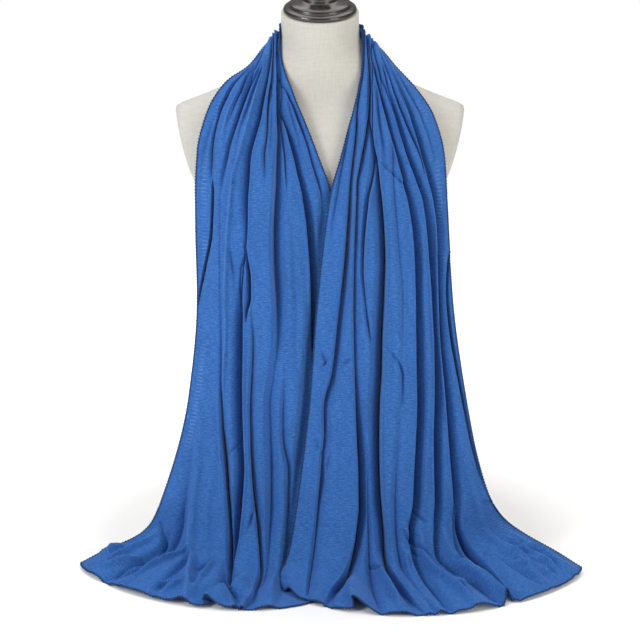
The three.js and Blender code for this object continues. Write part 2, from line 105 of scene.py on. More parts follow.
# The scarf's long edges. Each row is the run from the middle of the nape, the outer edge, the inner
# edge, and how far the middle of the cloth swells from the straight line between them.
LEFT_STATIONS = [
    (0, (0, 75, 653), (0, 60, 716), (0, 8, 2)),
    (12, (-17, 74.2, 653.4), (-11, 59.6, 716.1), (-1, 8, 2)),
    (54, (-63, 50, 667), (-44, 42, 720), (-5, 5, 2)),
    (106, (-72, 0, 692), (-54, -3, 721), (-2, -3, 1)),
    (150, (-94, -24, 667), (-51, -34, 682), (0, -8, 4)),
    (196, (-125, -42, 646), (-35, -64, 634), (0, -14, 6)),
    (242, (-148, -58, 609), (-19, -82, 598), (0, -18, 2)),
    (298, (-160, -80, 561), (-2, -101, 556), (0, -22, 0)),
    (352, (-162, -98, 505), (14, -112, 509), (0, -32, 0)),
    (490, (-161, -116, 370), (26, -118, 372), (0, -31, 0)),
    (620, (-174, -124, 240), (32, -122, 240), (0, -30, 0)),
    (762, (-212, -125, 100), (32, -128, 100), (0, -32, 0)),
    (844, (-240, -106, 42), (20, -158, 30), (0, -48, -8)),
    (892, (-278, -106, 17), (2, -200, 12), (0, -62, -4)),
    (940, (-324, -124, 2), (-8, -236, 2), (-4, -78, 0)),
]
RIGHT_STATIONS = [
    (0, (0, 75, 653), (0, 60, 716), (0, 8, 2)),
    (12, (17, 74.2, 653.4), (11, 59.6, 716.1), (1, 8, 2)),
    (54, (63, 50, 665), (45, 42, 718), (5, 5, 2)),
    (106, (77, 0, 690), (57, -3, 717), (3, -3, 1)),
    (150, (100, -24, 666), (56, -36, 679), (0, -8, 4)),
    (196, (125, -42, 640), (49, -66, 634), (0, -14, 6)),
    (242, (149, -58, 604), (38, -84, 595), (0, -18, 2)),
    (298, (162, -78, 556), (27, -104, 556), (0, -24, 0)),
    (352, (166, -96, 500), (14, -121, 511), (0, -32, 0)),
    (490, (174, -114, 374), (-3, -138, 374), (0, -24, 0)),
    (620, (194, -123, 238), (-14, -146, 236), (0, -22, 0)),
    (762, (226, -120, 105), (-31, -156, 98), (0, -24, 0)),
    (844, (266, -92, 42), (-42, -172, 32), (0, -54, -8)),
    (892, (308, -112, 17), (-47, -188, 13), (0, -84, -4)),
    (940, (351, -142, 2), (-49, -202, 2), (0, -114, 0)),
]


# One deep fold. Outward and inward are how far its two flanks reach, and the short one is the crisp
# edge that overlaps. Each point is the run, the share of the way from the outer edge to the inner one,
# and the fold's depth there. The cleft is how much deeper its narrow middle goes, as a share of that.
def deep_fold(name, outward, inward, points, cleft=0.5):
    return {"name": name, "outward": outward, "inward": inward, "points": points, "cleft": cleft}


LEFT_FOLDS = [
    deep_fold("outer turn", 4, 11, [
        (0, .1, 6), (54, .105, 5), (106, .11, 4), (196, .12, 3), (298, .12, 4), (340, .12, 0)]),
    deep_fold("outer slit", 2.5, 3.5, [
        (325, .13, 0), (352, .125, 9), (400, .106, 13), (445, .056, 12), (480, .018, 5),
        (500, .005, 0)]),
    deep_fold("ankle fold", 10, 12, [
        (680, .09, 0), (762, .13, 3), (844, .16, 6), (892, .15, 6), (940, .13, 3)]),
    deep_fold("shin fold", 4, 9, [
        (0, .25, 9), (54, .22, 6), (106, .23, 5), (150, .29, 4), (196, .35, 3), (298, .25, 2),
        (352, .19, 1), (490, .17, 1), (590, .2, 2), (652, .24, 9), (715, .318, 15),
        (762, .369, 16), (800, .406, 15), (844, .461, 13), (870, .524, 11), (892, .586, 9),
        (915, .654, 7), (940, .7, 3)]),
    deep_fold("shoulder fold", 16, 3, [
        (0, .34, 4), (54, .4, 6), (106, .53, 6), (150, .69, 8), (175, .649, 9), (196, .608, 10),
        (220, .574, 10), (242, .543, 10), (270, .489, 10), (298, .439, 10), (325, .409, 10),
        (352, .384, 8), (400, .368, 4), (445, .337, 3), (490, .31, 7), (520, .31, 14), (535, .312, 16),
        (580, .322, 17), (620, .336, 18), (670, .372, 18), (715, .413, 18), (762, .435, 18),
        (800, .45, 16), (844, .474, 12), (870, .514, 10), (892, .555, 8), (940, .61, 4)]),
    deep_fold("lens fold", 5, 10, [
        (0, .47, 9), (54, .52, 6), (106, .62, 5), (150, .75, 6), (175, .726, 8), (196, .676, 9),
        (220, .641, 9), (242, .624, 8), (270, .599, 7), (298, .56, 4), (340, .53, 0)]),
    deep_fold("lens slit", 6, 2.5, [
        (405, .352, 0), (424, .36, 5), (455, .378, 9), (481, .375, 9), (500, .352, 5), (516, .34, 0)]),
    deep_fold("lens lip", 4, 4, [
        (420, .37, 0), (445, .318, 4), (476, .305, 6), (502, .318, 4), (525, .335, 0)]),
    deep_fold("tongue fold", 3, 12, [
        (484, .378, 0), (540, .395, 3), (616, .4, 5), (670, .43, 8), (715, .47, 10),
        (762, .516, 11), (800, .562, 11), (844, .623, 10), (870, .663, 9), (892, .69, 8),
        (915, .716, 7), (940, .73, 3)]),
    deep_fold("breast fold", 9, 18, [
        (0, .56, 5), (54, .66, 7), (106, .8, 7), (150, .89, 9), (175, .845, 12), (196, .798, 13),
        (220, .766, 14), (242, .74, 14), (270, .712, 13), (298, .677, 13), (325, .64, 13),
        (352, .61, 13), (400, .58, 14), (445, .57, 14), (490, .573, 11), (535, .566, 7),
        (580, .542, 4), (620, .527, 5), (670, .554, 7), (715, .585, 9), (762, .608, 9),
        (800, .625, 7), (844, .66, 5), (892, .71, 4), (940, .75, 2)], cleft=0.1),
    deep_fold("short upper fold", 3, 9, [
        (0, .68, 9), (54, .75, 6), (106, .87, 5), (150, .935, 4), (196, .86, 4), (220, .8, 5),
        (242, .763, 7), (270, .746, 8), (298, .729, 7), (325, .7, 4), (350, .68, 0)]),
    deep_fold("short lower fold", 8, 9, [
        (560, .62, 0), (620, .613, 4), (670, .63, 7), (715, .682, 9), (762, .7, 9), (800, .72, 7),
        (844, .78, 5), (892, .83, 3), (940, .85, 1)]),
    deep_fold("front gap", 3, 14, [
        (0, .77, 5), (54, .85, 6), (106, .92, 5), (150, .955, 3), (196, .84, 5), (220, .777, 9),
        (242, .791, 10), (270, .803, 11), (298, .809, 12), (325, .802, 13), (352, .805, 15),
        (400, .815, 21), (445, .816, 25), (490, .811, 26), (535, .805, 26), (580, .802, 25),
        (620, .789, 22), (690, .77, 20), (762, .765, 16), (844, .84, 8), (892, .89, 4),
        (940, .91, 1)], cleft=0),
    deep_fold("neck edge fold", 4, 9, [
        (0, .91, 7), (54, .92, 5), (106, .96, 4), (150, .85, 1), (175, .873, 5), (196, .913, 6),
        (220, .94, 5), (270, .945, 4), (325, .93, 4), (380, .93, 0)]),
]
RIGHT_FOLDS = [
    deep_fold("slit", 3, 4, [
        (425, .004, 0), (445, .012, 6), (490, .032, 11), (535, .033, 13), (580, .026, 11),
        (620, .02, 9), (700, .014, 5), (770, .01, 0)]),
    deep_fold("outer sheet", 14, 3, [
        (0, .1, 6), (54, .15, 5), (106, .19, 4), (150, .22, 5), (175, .263, 7), (196, .28, 8),
        (220, .276, 9), (242, .268, 9), (270, .244, 10), (298, .205, 11), (325, .158, 12),
        (352, .111, 12), (400, .085, 11), (490, .09, 10), (535, .1, 11), (580, .11, 12),
        (620, .12, 12), (670, .135, 12), (715, .151, 12), (762, .175, 13), (800, .215, 11),
        (840, .26, 6), (865, .29, 0)]),
    deep_fold("spread edge", 3, 17, [
        (775, .17, 0), (800, .196, 5), (820, .208, 9), (844, .212, 11), (870, .21, 11),
        (892, .22, 10), (915, .236, 8), (940, .25, 4)]),
    deep_fold("short shoulder fold", 8, 3, [
        (130, .335, 0), (150, .369, 3), (175, .394, 6), (196, .398, 6), (220, .383, 6),
        (242, .348, 5), (270, .293, 4), (298, .232, 3), (325, .19, 0)]),
    deep_fold("shoulder crease", 14, 3, [
        (0, .25, 9), (54, .27, 6), (106, .4, 5), (150, .6, 6), (175, .573, 8), (196, .527, 9),
        (220, .482, 10), (242, .448, 10), (270, .404, 11), (298, .349, 12), (325, .272, 12),
        (352, .206, 13), (400, .169, 13), (445, .152, 16), (490, .143, 14), (535, .147, 15),
        (580, .169, 19), (620, .193, 19), (670, .225, 19), (715, .247, 18), (762, .274, 17),
        (800, .311, 15), (844, .352, 12), (870, .337, 10), (892, .314, 8), (940, .3, 4)]),
    deep_fold("side fold", 16, 3, [
        (0, .34, 4), (54, .4, 6), (106, .54, 5), (150, .71, 7), (175, .68, 9), (196, .635, 9),
        (220, .59, 10), (242, .548, 10), (270, .499, 10), (298, .449, 10), (325, .389, 11),
        (352, .336, 12), (400, .286, 15), (445, .268, 17), (490, .265, 15), (535, .275, 16),
        (580, .291, 18), (620, .305, 19), (670, .332, 19), (715, .36, 18), (762, .389, 18),
        (800, .432, 15), (844, .453, 11), (892, .463, 7), (940, .47, 4)]),
    deep_fold("long soft fold", 9, 9, [
        (0, .47, 9), (54, .47, 6), (106, .58, 4), (196, .58, 3), (270, .51, 3), (298, .502, 4),
        (352, .461, 4), (400, .424, 3), (490, .378, 3), (580, .4, 2), (670, .449, 3),
        (762, .49, 5), (844, .51, 7), (892, .51, 6), (940, .51, 3)]),
    deep_fold("deep fold", 3, 20, [
        (0, .56, 5), (54, .6, 6), (106, .68, 5), (196, .75, 4), (270, .71, 5), (298, .66, 9),
        (325, .615, 12), (352, .576, 15), (400, .534, 18), (445, .515, 21), (490, .517, 22),
        (535, .531, 22), (580, .543, 22), (620, .561, 22), (670, .568, 21), (715, .569, 20),
        (762, .567, 20), (800, .562, 18), (844, .572, 14), (892, .559, 9), (940, .55, 4)]),
    deep_fold("soft fold", 4, 11, [
        (0, .68, 9), (54, .7, 6), (106, .76, 5), (196, .81, 4), (220, .79, 7), (242, .765, 8),
        (270, .715, 9), (298, .682, 9), (325, .677, 9), (352, .69, 8), (400, .693, 7),
        (445, .685, 5), (490, .65, 3), (540, .61, 2), (580, .6, 0)]),
    deep_fold("soft lower fold", 9, 9, [
        (640, .64, 0), (700, .63, 5), (762, .63, 7), (844, .65, 7), (892, .67, 5), (940, .68, 2)]),
    deep_fold("panel fold", 19, 3, [
        (0, .77, 5), (54, .8, 6), (106, .83, 6), (150, .866, 8), (175, .85, 11), (196, .825, 12),
        (220, .802, 13), (242, .795, 12), (270, .8, 11), (298, .807, 10), (325, .807, 9),
        (352, .786, 8), (400, .764, 7), (445, .75, 5), (490, .736, 5), (535, .725, 5),
        (580, .714, 5), (620, .704, 8), (670, .687, 14), (715, .674, 17), (762, .672, 20),
        (800, .691, 19), (844, .739, 15), (870, .78, 12), (892, .818, 9), (940, .86, 4)]),
    deep_fold("neck edge fold", 14, 3, [
        (0, .91, 7), (54, .92, 5), (106, .96, 4), (150, .98, 2), (196, .985, 3), (220, .965, 6),
        (242, .926, 8), (270, .902, 8), (298, .888, 8), (325, .867, 9), (352, .848, 10),
        (400, .831, 13), (445, .825, 14), (490, .833, 14), (535, .846, 12), (580, .865, 10),
        (620, .905, 8), (670, .89, 6), (762, .89, 5), (844, .9, 4), (892, .91, 3), (940, .92, 1)]),
]

# Softer folds and ridges, half width first. The third number of a point is its depth, and a ridge's
# is negative.
LEFT_RIPPLES = [
    (5, [(150, .43, 0), (175, .405, 4), (196, .375, 5), (242, .318, 5), (298, .252, 4), (352, .18, 0)]),
    (3.4, [(140, .16, 0), (175, .262, -3.5), (196, .274, -4), (242, .216, -3.5), (298, .191, 0)]),
    (2.8, [(150, .21, 0), (175, .3, 3.5), (196, .3, 4), (225, .26, 3), (260, .23, 0)]),
    (2.8, [(140, .25, 0), (175, .329, -3), (196, .327, -3.5), (230, .28, 0)]),
    (2.6, [(140, .52, 0), (160, .555, -4), (196, .507, -4.5), (242, .441, -4.5), (298, .351, -4),
           (325, .295, -4), (400, .235, -4), (490, .206, -3.5), (580, .211, -3.5),
           (620, .225, -3), (700, .27, -2), (760, .31, 0)]),
    (4, [(150, .48, 0), (175, .47, 4), (220, .425, 4), (260, .36, 3), (310, .3, 0)]),
    (4, [(210, .665, 0), (240, .64, -3), (280, .6, -3), (320, .56, 0)]),
    (4, [(180, .71, 0), (215, .69, 3), (260, .65, 3), (310, .6, 0)]),
    (6, [(600, .09, 0), (661, .107, -3), (715, .147, -4), (762, .178, -5), (823, .233, -6),
         (880, .355, -6), (931, .473, -4), (940, .49, -2)]),
    (6, [(690, .26, 0), (715, .271, 2), (762, .285, 3), (800, .307, 3), (850, .34, 0)]),
    (7, [(370, .45, 0), (400, .45, 1.5), (470, .46, 2), (560, .46, 1.5), (640, .47, 0)]),
    (4, [(640, .5, 0), (680, .52, 2.5), (740, .56, 3), (800, .59, 0)]),
    (3, [(200, .92, 0), (225, .88, 3), (270, .88, 3), (320, .87, 3), (380, .86, 0)]),
    (5, [(350, .69, 0), (400, .7, 2), (470, .7, 2.5), (540, .69, 2), (600, .68, 0)]),
    (4, [(200, .15, 0), (242, .1, 2.5), (298, .06, 2.5), (352, .03, 0)]),
    (3, [(830, .05, 0), (860, .05, -4), (900, .06, -5), (937, .07, -3)]),
    (4, [(830, .36, 0), (860, .4, -4), (900, .45, -3), (940, .5, 0)]),
    (5, [(820, .1, 0), (850, .12, 4), (900, .13, 4), (940, .14, 2)]),
    (5, [(830, .27, 0), (860, .28, 4), (900, .31, 4), (940, .35, 2)]),
]
RIGHT_RIPPLES = [
    (3, [(240, .99, 0), (270, .983, 3), (298, .973, 4), (352, .947, 4), (440, .95, 0)]),
    (7, [(600, .8, 0), (640, .8, 2), (715, .77, 2.5), (780, .76, 0)]),
    (5, [(190, .7, 0), (230, .67, 4), (270, .62, 4), (310, .57, 3), (350, .52, 0)]),
    (3, [(160, .76, 0), (190, .74, -3.5), (230, .7, -4), (270, .65, -3), (300, .6, 0)]),
    (3, [(150, .45, 0), (175, .48, 4), (200, .46, 4), (240, .42, 3), (280, .36, 0)]),
    (3, [(150, .5, 0), (175, .52, -3), (200, .5, -3), (240, .46, -3), (290, .39, 0)]),
    (3, [(140, .3, 0), (170, .34, -3), (200, .35, -3), (240, .31, -3), (300, .22, 0)]),
    (4, [(150, .1, 0), (180, .14, 3), (220, .15, 3), (280, .12, 3), (330, .06, 0)]),
    (4, [(380, .22, 0), (430, .21, -2.5), (560, .22, -3), (700, .3, -2.5), (790, .36, 0)]),
    (5, [(420, .34, 0), (480, .33, 2), (560, .35, 2.5), (640, .37, 0)]),
    (4, [(470, .45, 0), (520, .45, 2), (600, .47, 2), (660, .49, 0)]),
    (6, [(780, .1, 0), (830, .11, -3), (880, .11, -4), (925, .12, -3), (940, .12, -2)]),
    (6, [(800, .28, 0), (840, .29, -4), (890, .285, -4), (940, .29, -2)]),
    (5, [(800, .39, 0), (850, .41, -5), (900, .39, -5), (940, .38, -3)]),
    (5, [(820, .47, 0), (860, .505, -4), (900, .51, -4), (940, .5, -2)]),
    (6, [(820, .6, 0), (860, .61, -5), (905, .61, -5), (940, .61, -3)]),
    (3, [(840, .03, 0), (880, .035, -3), (925, .03, -4), (940, .03, -3)]),
    (3, [(845, .055, 0), (870, .065, -4), (905, .055, -4), (938, .05, -2)]),
    (2.6, [(855, .09, 0), (880, .1, -3), (910, .085, -3), (935, .08, 0)]),
    (2.6, [(870, .15, 0), (890, .15, 2.5), (915, .14, 2.5), (938, .13, 0)]),
    (6, [(640, .06, 0), (700, .07, -3), (760, .08, -4), (820, .1, 0)]),
]

# Small creases: half width, depth (a ridge's is negative), and the points it runs through as run and
# share.
LEFT_CREASES = [
    (2.2, 3.6, [(421, .247), (466, .273)]),
    (2, 3, [(424, .37), (445, .318)]),
    (2, 4, [(676, .362), (689, .315)]),
    (2.2, 4.4, [(751, .503), (773, .512), (800, .503)]),
    (2.4, 5, [(814, .045), (848, .118), (860, .133), (877, .2)]),
    (3, -6, [(833, .233), (865, .205), (880, .195), (938, .215)]),
    (2.6, -5, [(877, .02), (910, .005)]),
    (2.6, -5, [(886, .11), (937, .068)]),
    (2.6, -5, [(892, .182), (940, .13)]),
    (2.6, -4, [(898, .325), (931, .312)]),
    (2.6, -4, [(902, .388), (934, .367)]),
    (3, 2, [(845, .385), (878, .375)]),
    (2.4, 1, [(640, .03), (655, .14)]),
    (2.4, 1, [(705, .02), (718, .17)]),
    (2.2, 1.2, [(255, .42), (262, .5)]),
    (2.2, 1.2, [(560, .66), (585, .72), (640, .74)]),
    (2.2, 1.1, [(360, .2), (372, .27), (390, .31)]),
]
RIGHT_CREASES = [
    (2, 4, [(295, .675), (332, .38), (359, .318)]),
    (2, 3, [(502, .645), (539, .608)]),
    (2.2, 4.5, [(545, .503), (565, .42), (581, .398), (619, .41)]),
    (2, 3.4, [(559, .73), (569, .82)]),
    (2, 4, [(551, .95), (566, .91), (574, .945)]),
    (1.8, 1, [(583, .385), (587, .552), (590, .897)]),
    (2.6, 4.5, [(668, .938), (685, .9), (727, .878), (764, .89)]),
    (2.2, 3.4, [(685, .85), (718, .86)]),
    (2.2, 4, [(778, .4), (791, .352)]),
    (2.2, 4, [(800, .465), (835, .425)]),
    (2.2, 4, [(787, .44), (826, .42)]),
    (2.2, 4, [(814, .427), (838, .383)]),
    (2.2, 3.6, [(776, .055), (781, .005)]),
    (2.4, 4.5, [(841, .647), (857, .598)]),
    (3, -3, [(862, .062), (896, .025), (934, .012)]),
    (3, -3, [(877, .1), (912, .05)]),
    (3, -3, [(890, .13), (926, .07)]),
    (2, .9, [(791, .97), (790, .725)]),
    (3.4, -3, [(884, .338), (920, .37)]),
    (3, 2.6, [(848, .352), (878, .305)]),
    (2.2, 1.4, [(575, .86), (600, .85), (640, .84)]),
    (2.2, 1.2, [(500, .2), (520, .23), (560, .24)]),
]

# Where the hem lifts off the floor in a small roll that runs back up the cloth: its share, width and
# height, how far it leans towards the inner edge for each millimetre of height, and how far it is
# drawn back towards the form
LEFT_CURLS = [
    (.095, 12, 3, 0, 0),
    (.27, 16, 3, 0, 0),
    (.473, 9, 6, 0, 2),
    (.612, 8, 19, -.8, 3),
    (.7, 8, 6, .4, 0),
    (.86, 16, 4, 0, 0),
]
RIGHT_CURLS = [
    (.262, 6, 20, .3, 12),
    (.36, 14, 4, 0, 0),
    (.5, 14, 3, 0, 0),
    (.738, 8.5, 16, .9, 5),
    (.885, 14, 4, 0, 0),
    (.968, 6, 7, .6, 4),
]

# Below the breast the right half lies over the left one. This line, as depth and height, runs
# between the two layers down to the floor.
PARTING = [
    (-98, 600),
    (-107, 556),
    (-115, 511),
    (-128, 374),
    (-134, 238),
    (-142, 100),
    (-153, 45),
    (-174, 16),
    (-200, 4.5),
    (-300, 2.5),
]
PARTING_MARGIN = 1.5
PARTING_BLEND = 16
OVERLAP_FROM = 298 # the halves overlap from about this run down

# Places along the cloth, as runs from the middle of the nape
LAST_RUN = 940
FALL_FROM = 106
NAPE_EVENS_OUT = 60
WAVES_START = 110
WAVES_FULL = 200
HANGING = (180, 300, 720, 820) # where the cloth starts and stops hanging freely
LANDING_START = 780
STAND_START = 800
CURL_START = 850
LIVELY = (CURL_START - 90, CURL_START + 10)

# The cloth as a whole
HEM_FULLNESS = 0.6
SWELL_WIDTH = 0.6 # how much of the middle's swell adds to the cloth's width
FORM_CLEARANCE = 1.2
FLOOR_LIFT = 0.9
STRAIGHT_BACK = 2 # how much more the hanging folds sink straight back than along their own normal
FLANK_WIDTH = 210 # cloth narrower than this squeezes its folds
LEAST_SQUEEZE = 0.36

# The deep folds
DEEPER = 1.45 # how much deeper they are here than the valleys of their solids
FULL_DEPTH = 8 # the depth from which a fold has its whole rim and trough
SLOPE_POWER = 1.8
CRISP_RATIO = 1.5 # a flank is crisp where the other one is longer by more than this
EVEN_FLANK = 8
CLEFT_WIDTH = 1.3
LEAST_CLEFT = 0.8
CLEFT_RATIOS = (1.2, 2) # a cleft starts and is whole where one flank is this much longer
FOLD_LEAN = 0.1
LEAN_START = 4
LEAN_FULL = 4 # a fold leans fully where its flanks differ by this
RIM_HEIGHT = 2.4 # the roll of cloth along a crisp edge
RIM_WIDTH = 1.8
BROAD_DEPTH = 2.6 # each fold also draws down a wide, shallow trough
BROAD_REACH = 15
MERGE_POWER = 5 # how sharply two folds that meet become one

# Where the cloth lies on the floor, it stands up between two folds, and less so near the hem
STAND_HEIGHT = 7
STAND_REACH = 11
STAND_FULL = 40
SETTLE_REACH = 45
SETTLED = 0.45

# The soft ripples and the small creases
SHARPER = 1.35 # how much deeper they are than their tables say
LIVELIER = 0.7 # how much stronger they are again where the cloth lies on the floor
CALMER = 0.6 # and how much of that strength is lost again at the very hem
CALM_REACH = 30
CREASE_END = 0.08 # a crease fades towards its ends, but no further than at this share of its length
CREASE_FADE = 0.7
# Seeded waves: their height, length along the cloth and width across it
WAVES = [
    (1.1, 95, 17),
    (0.45, 34, 9),
    (0.18, 13, 6),
]

# How finely the meshes are divided
FALL_ROWS = 320
FALL_COLUMNS = 300
NAPE_ROWS = 100
FINE_SHARES = 1401
CLOSER = 2.6 # how many more columns there are at the middle of a deep fold
CLOSER_REACH = 5
CLOSER_DEPTH = 6
FORM_LEVELS = 185
FORM_SIDES = 192
ARM_CAP_SIDES = 96
FINIAL_SIDES = 112


def smooth_step(x, start, end):
    t = np.clip((np.asarray(x, float) - start) / (end - start), 0, 1)
    return t * t * (3 - 2 * t)


# A smooth curve through (knots, values) that never overshoots them
def smooth_through(knots, values):
    knots = np.asarray(knots, float)
    values = np.asarray(values, float)
    steps = np.diff(knots)
    slopes = np.diff(values) / steps
    product = slopes[:-1] * slopes[1:]
    total = np.where(product > 0, slopes[:-1] + slopes[1:], 1)
    tangents = np.concatenate([slopes[:1], np.where(product > 0, 2 * product / total, 0), slopes[-1:]])

    def curve(x):
        x = np.asarray(x, float)
        i = np.clip(np.searchsorted(knots, x, side="right") - 1, 0, len(steps) - 1)
        h = steps[i]
        t = np.clip((x - knots[i]) / h, 0, 1)
        rise = 3 * t**2 - 2 * t**3
        start = (t**3 - 2 * t**2 + t) * h * tangents[i]
        end = (t**3 - t**2) * h * tangents[i + 1]
        return values[i] + rise * (values[i + 1] - values[i]) + start + end

    return curve


def vector_track(stations, column):
    runs = [s[0] for s in stations]
    axes = [smooth_through(runs, [s[column][axis] for s in stations]) for axis in range(3)]
    return lambda run: np.stack([axis(run) for axis in axes], axis=-1)


def unit(vectors):
    return vectors / np.maximum(np.linalg.norm(vectors, axis=-1, keepdims=True), 1e-9)


# The form's skin
form_knots = [s[0] for s in FORM_SECTIONS]
form_wide = smooth_through(form_knots, [s[1] for s in FORM_SECTIONS])
form_front = smooth_through(form_knots, [s[2] for s in FORM_SECTIONS])
form_back = smooth_through(form_knots, [s[3] for s in FORM_SECTIONS])


def bust_at(x, z):
    across = (np.abs(x) - BUST["x"]) / BUST["wide"]
    up = (z - BUST["z"]) / BUST["tall"]
    return BUST["swell"] * np.exp(-across**2 - up**2)


# Angle 0 is the viewer's right, and a quarter turn back is the front
def form_point(angle, z):
    angle, z = np.broadcast_arrays(np.asarray(angle, float), np.asarray(z, float))
    side = np.where(z < ARM_CUT["from"], 1e6, ARM_CUT["x"] + ARM_CUT["slope"] * (z - ARM_CUT["z"]))
    reach = form_wide(z) * np.cos(angle)
    x = np.sign(reach) * np.minimum(np.abs(reach), side)
    depth = np.where(np.sin(angle) < 0, form_front(z) + bust_at(x, z), form_back(z))
    y = depth * np.sin(angle)
    tilt = NECK_TILT * smooth_step(z, NECK_TILT_START, NECK_TOP - 20)
    return np.stack([x, y, z + tilt * y], axis=-1)


# Moves points of cloth that are inside the form out to just above its skin
def keep_off_form(points):
    x, y, z = points[..., 0], points[..., 1], points[..., 2]
    level = z - NECK_TILT * smooth_step(z, NECK_TILT_START, NECK_TOP - 20) * y
    wide = form_wide(level) + FORM_CLEARANCE
    deep = np.where(y < 0, form_front(level) + bust_at(x, level), form_back(level)) + FORM_CLEARANCE
    reach = np.sqrt((x / wide) ** 2 + (y / deep) ** 2)
    inside = (reach < 1) & (level < NECK_TOP)
    grow = np.where(inside, 1 / np.maximum(reach, 0.2), 1)
    points[..., 0] = x * grow
    points[..., 1] = y * grow


# One half of the scarf
class Half:
    def __init__(self, side, stations, folds, ripples, creases, curls, seed):
        self.side = side
        self.outer = vector_track(stations, 1)
        self.inner = vector_track(stations, 2)
        self.swell = vector_track(stations, 3)
        self.folds = folds
        self.ripples = ripples
        self.creases = creases
        self.curls = curls
        self.seed = seed

    def width(self, run):
        straight = np.linalg.norm(self.inner(run) - self.outer(run), axis=-1)
        return straight + SWELL_WIDTH * np.linalg.norm(self.swell(run), axis=-1)


def unfolded(half, run, share):
    fullness = 1 + (HEM_FULLNESS - 1) * smooth_step(run, LANDING_START, LAST_RUN)
    bow = np.sin(np.pi * np.clip(share, 0, 1)) ** fullness
    outer = half.outer(run)
    return outer + share[..., None] * (half.inner(run) - outer) + bow[..., None] * half.swell(run)


# How much of its depth a fold reaches at a distance from its middle, where 1 is a flank's far end.
# The crisp flank is a wall with a rounded top, and the other one eases out into the cloth beside it.
def fold_section(reach, crisp):
    wall = 1 - smooth_step(reach, 0, 1)
    slope = np.maximum(0, 1 - reach) ** SLOPE_POWER
    return np.where(crisp, wall, slope)


def path_at(points, column):
    return smooth_through([p[0] for p in points], [p[column] for p in points])


def squeeze_at(half, run):
    return np.clip(half.width(run) / FLANK_WIDTH, LEAST_SQUEEZE, 1)


# A fold's distance from each point, its depth there, and its two flanks. At the nape both halves
# have the same even flanks, so that they meet.
def fold_facts(half, fold, run, share):
    points = fold["points"]
    inside = (run >= points[0][0]) & (run <= points[-1][0])
    off = (share - path_at(points, 1)(run)) * half.width(run)
    depth = DEEPER * path_at(points, 2)(run) * inside
    own = smooth_step(run, 0, NAPE_EVENS_OUT)
    outward = EVEN_FLANK + (fold["outward"] - EVEN_FLANK) * own
    inward = EVEN_FLANK + (fold["inward"] - EVEN_FLANK) * own
    return off, depth, outward, inward


def fold_sinks(half, run, share):
    squeeze = squeeze_at(half, run)
    stand = smooth_step(run, STAND_START, LAST_RUN - STAND_FULL) * STAND_HEIGHT
    stand = stand * (1 - SETTLED * smooth_step(run, LAST_RUN - SETTLE_REACH, LAST_RUN))
    total = np.zeros(run.shape)
    slip = np.zeros_like(total)
    rim = np.zeros_like(total)
    cleft = np.zeros_like(total)
    trough = np.zeros_like(total)
    floor_trough = np.zeros_like(total)
    for fold in half.folds:
        off, depth, outward, inward = fold_facts(half, fold, run, share)
        flank = np.where(off < 0, outward, inward)
        other = np.where(off < 0, inward, outward)
        crisp = flank * CRISP_RATIO < other
        reach = np.abs(off) / (flank * squeeze)
        sink = depth * fold_section(reach, crisp)
        overlap = smooth_step(np.maximum(flank, other) / np.minimum(flank, other), *CLEFT_RATIOS)
        narrow = np.exp(-((off / np.maximum(LEAST_CLEFT, CLEFT_WIDTH * squeeze)) ** 2))
        cleft = np.maximum(cleft, fold["cleft"] * overlap * depth * narrow)
        total += sink**MERGE_POWER
        lean = FOLD_LEAN * np.clip((outward - inward) / LEAN_FULL, -1, 1)
        slip += lean * np.maximum(0, sink - LEAN_START)
        strength = np.clip(depth / FULL_DEPTH, 0, 1)
        edge = np.exp(-(((np.abs(off) / squeeze - flank - RIM_WIDTH) / RIM_WIDTH) ** 2))
        rim = np.maximum(rim, crisp * strength * edge)
        trough = np.maximum(trough, strength * np.exp(-((off / (BROAD_REACH * squeeze)) ** 2)))
        floor_trough = np.maximum(floor_trough, strength**0.5 * np.exp(-((off / STAND_REACH) ** 2)))
    deep = total ** (1 / MERGE_POWER)
    raised = RIM_HEIGHT * squeeze * rim + stand * (1 - floor_trough)
    return deep + cleft + BROAD_DEPTH * squeeze * trough - raised, slip


def strength_at(run):
    lively = 1 + LIVELIER * smooth_step(run, *LIVELY)
    return SHARPER * lively * (1 - CALMER * smooth_step(run, LAST_RUN - CALM_REACH, LAST_RUN))


def ripple_sinks(half, run, share):
    width = half.width(run)
    squeeze = squeeze_at(half, run)
    total = np.zeros(run.shape)
    for reach, points in half.ripples:
        inside = (run >= points[0][0]) & (run <= points[-1][0])
        off = (share - path_at(points, 1)(run)) * width / (reach * squeeze)
        total += path_at(points, 2)(run) * inside * np.exp(-(off**2))
    return strength_at(run) * total


def crease_sinks(half, run, share):
    width = half.width(run)
    total = np.zeros(np.broadcast(run, share).shape)
    for reach, depth, points in half.creases:
        nearest = np.full(total.shape, 1e9)
        far_end = len(points) - 1
        along = np.zeros_like(total)
        for i in range(far_end):
            (run_a, share_a), (run_b, share_b) = points[i], points[i + 1]
            dr = run_b - run_a
            ds = (share_b - share_a) * width
            t = ((run - run_a) * dr + (share - share_a) * width * ds) / (dr**2 + ds**2)
            t = np.clip(t, 0, 1)
            away = np.hypot(run - run_a - t * dr, (share - share_a) * width - t * ds)
            closer = away < nearest
            nearest = np.where(closer, away, nearest)
            along = np.where(closer, (i + t) / far_end, along)
        fade = np.sin(np.pi * np.clip(along, CREASE_END, 1 - CREASE_END)) ** CREASE_FADE
        total += depth * fade * np.exp(-((nearest / reach) ** 2))
    return strength_at(run) * total


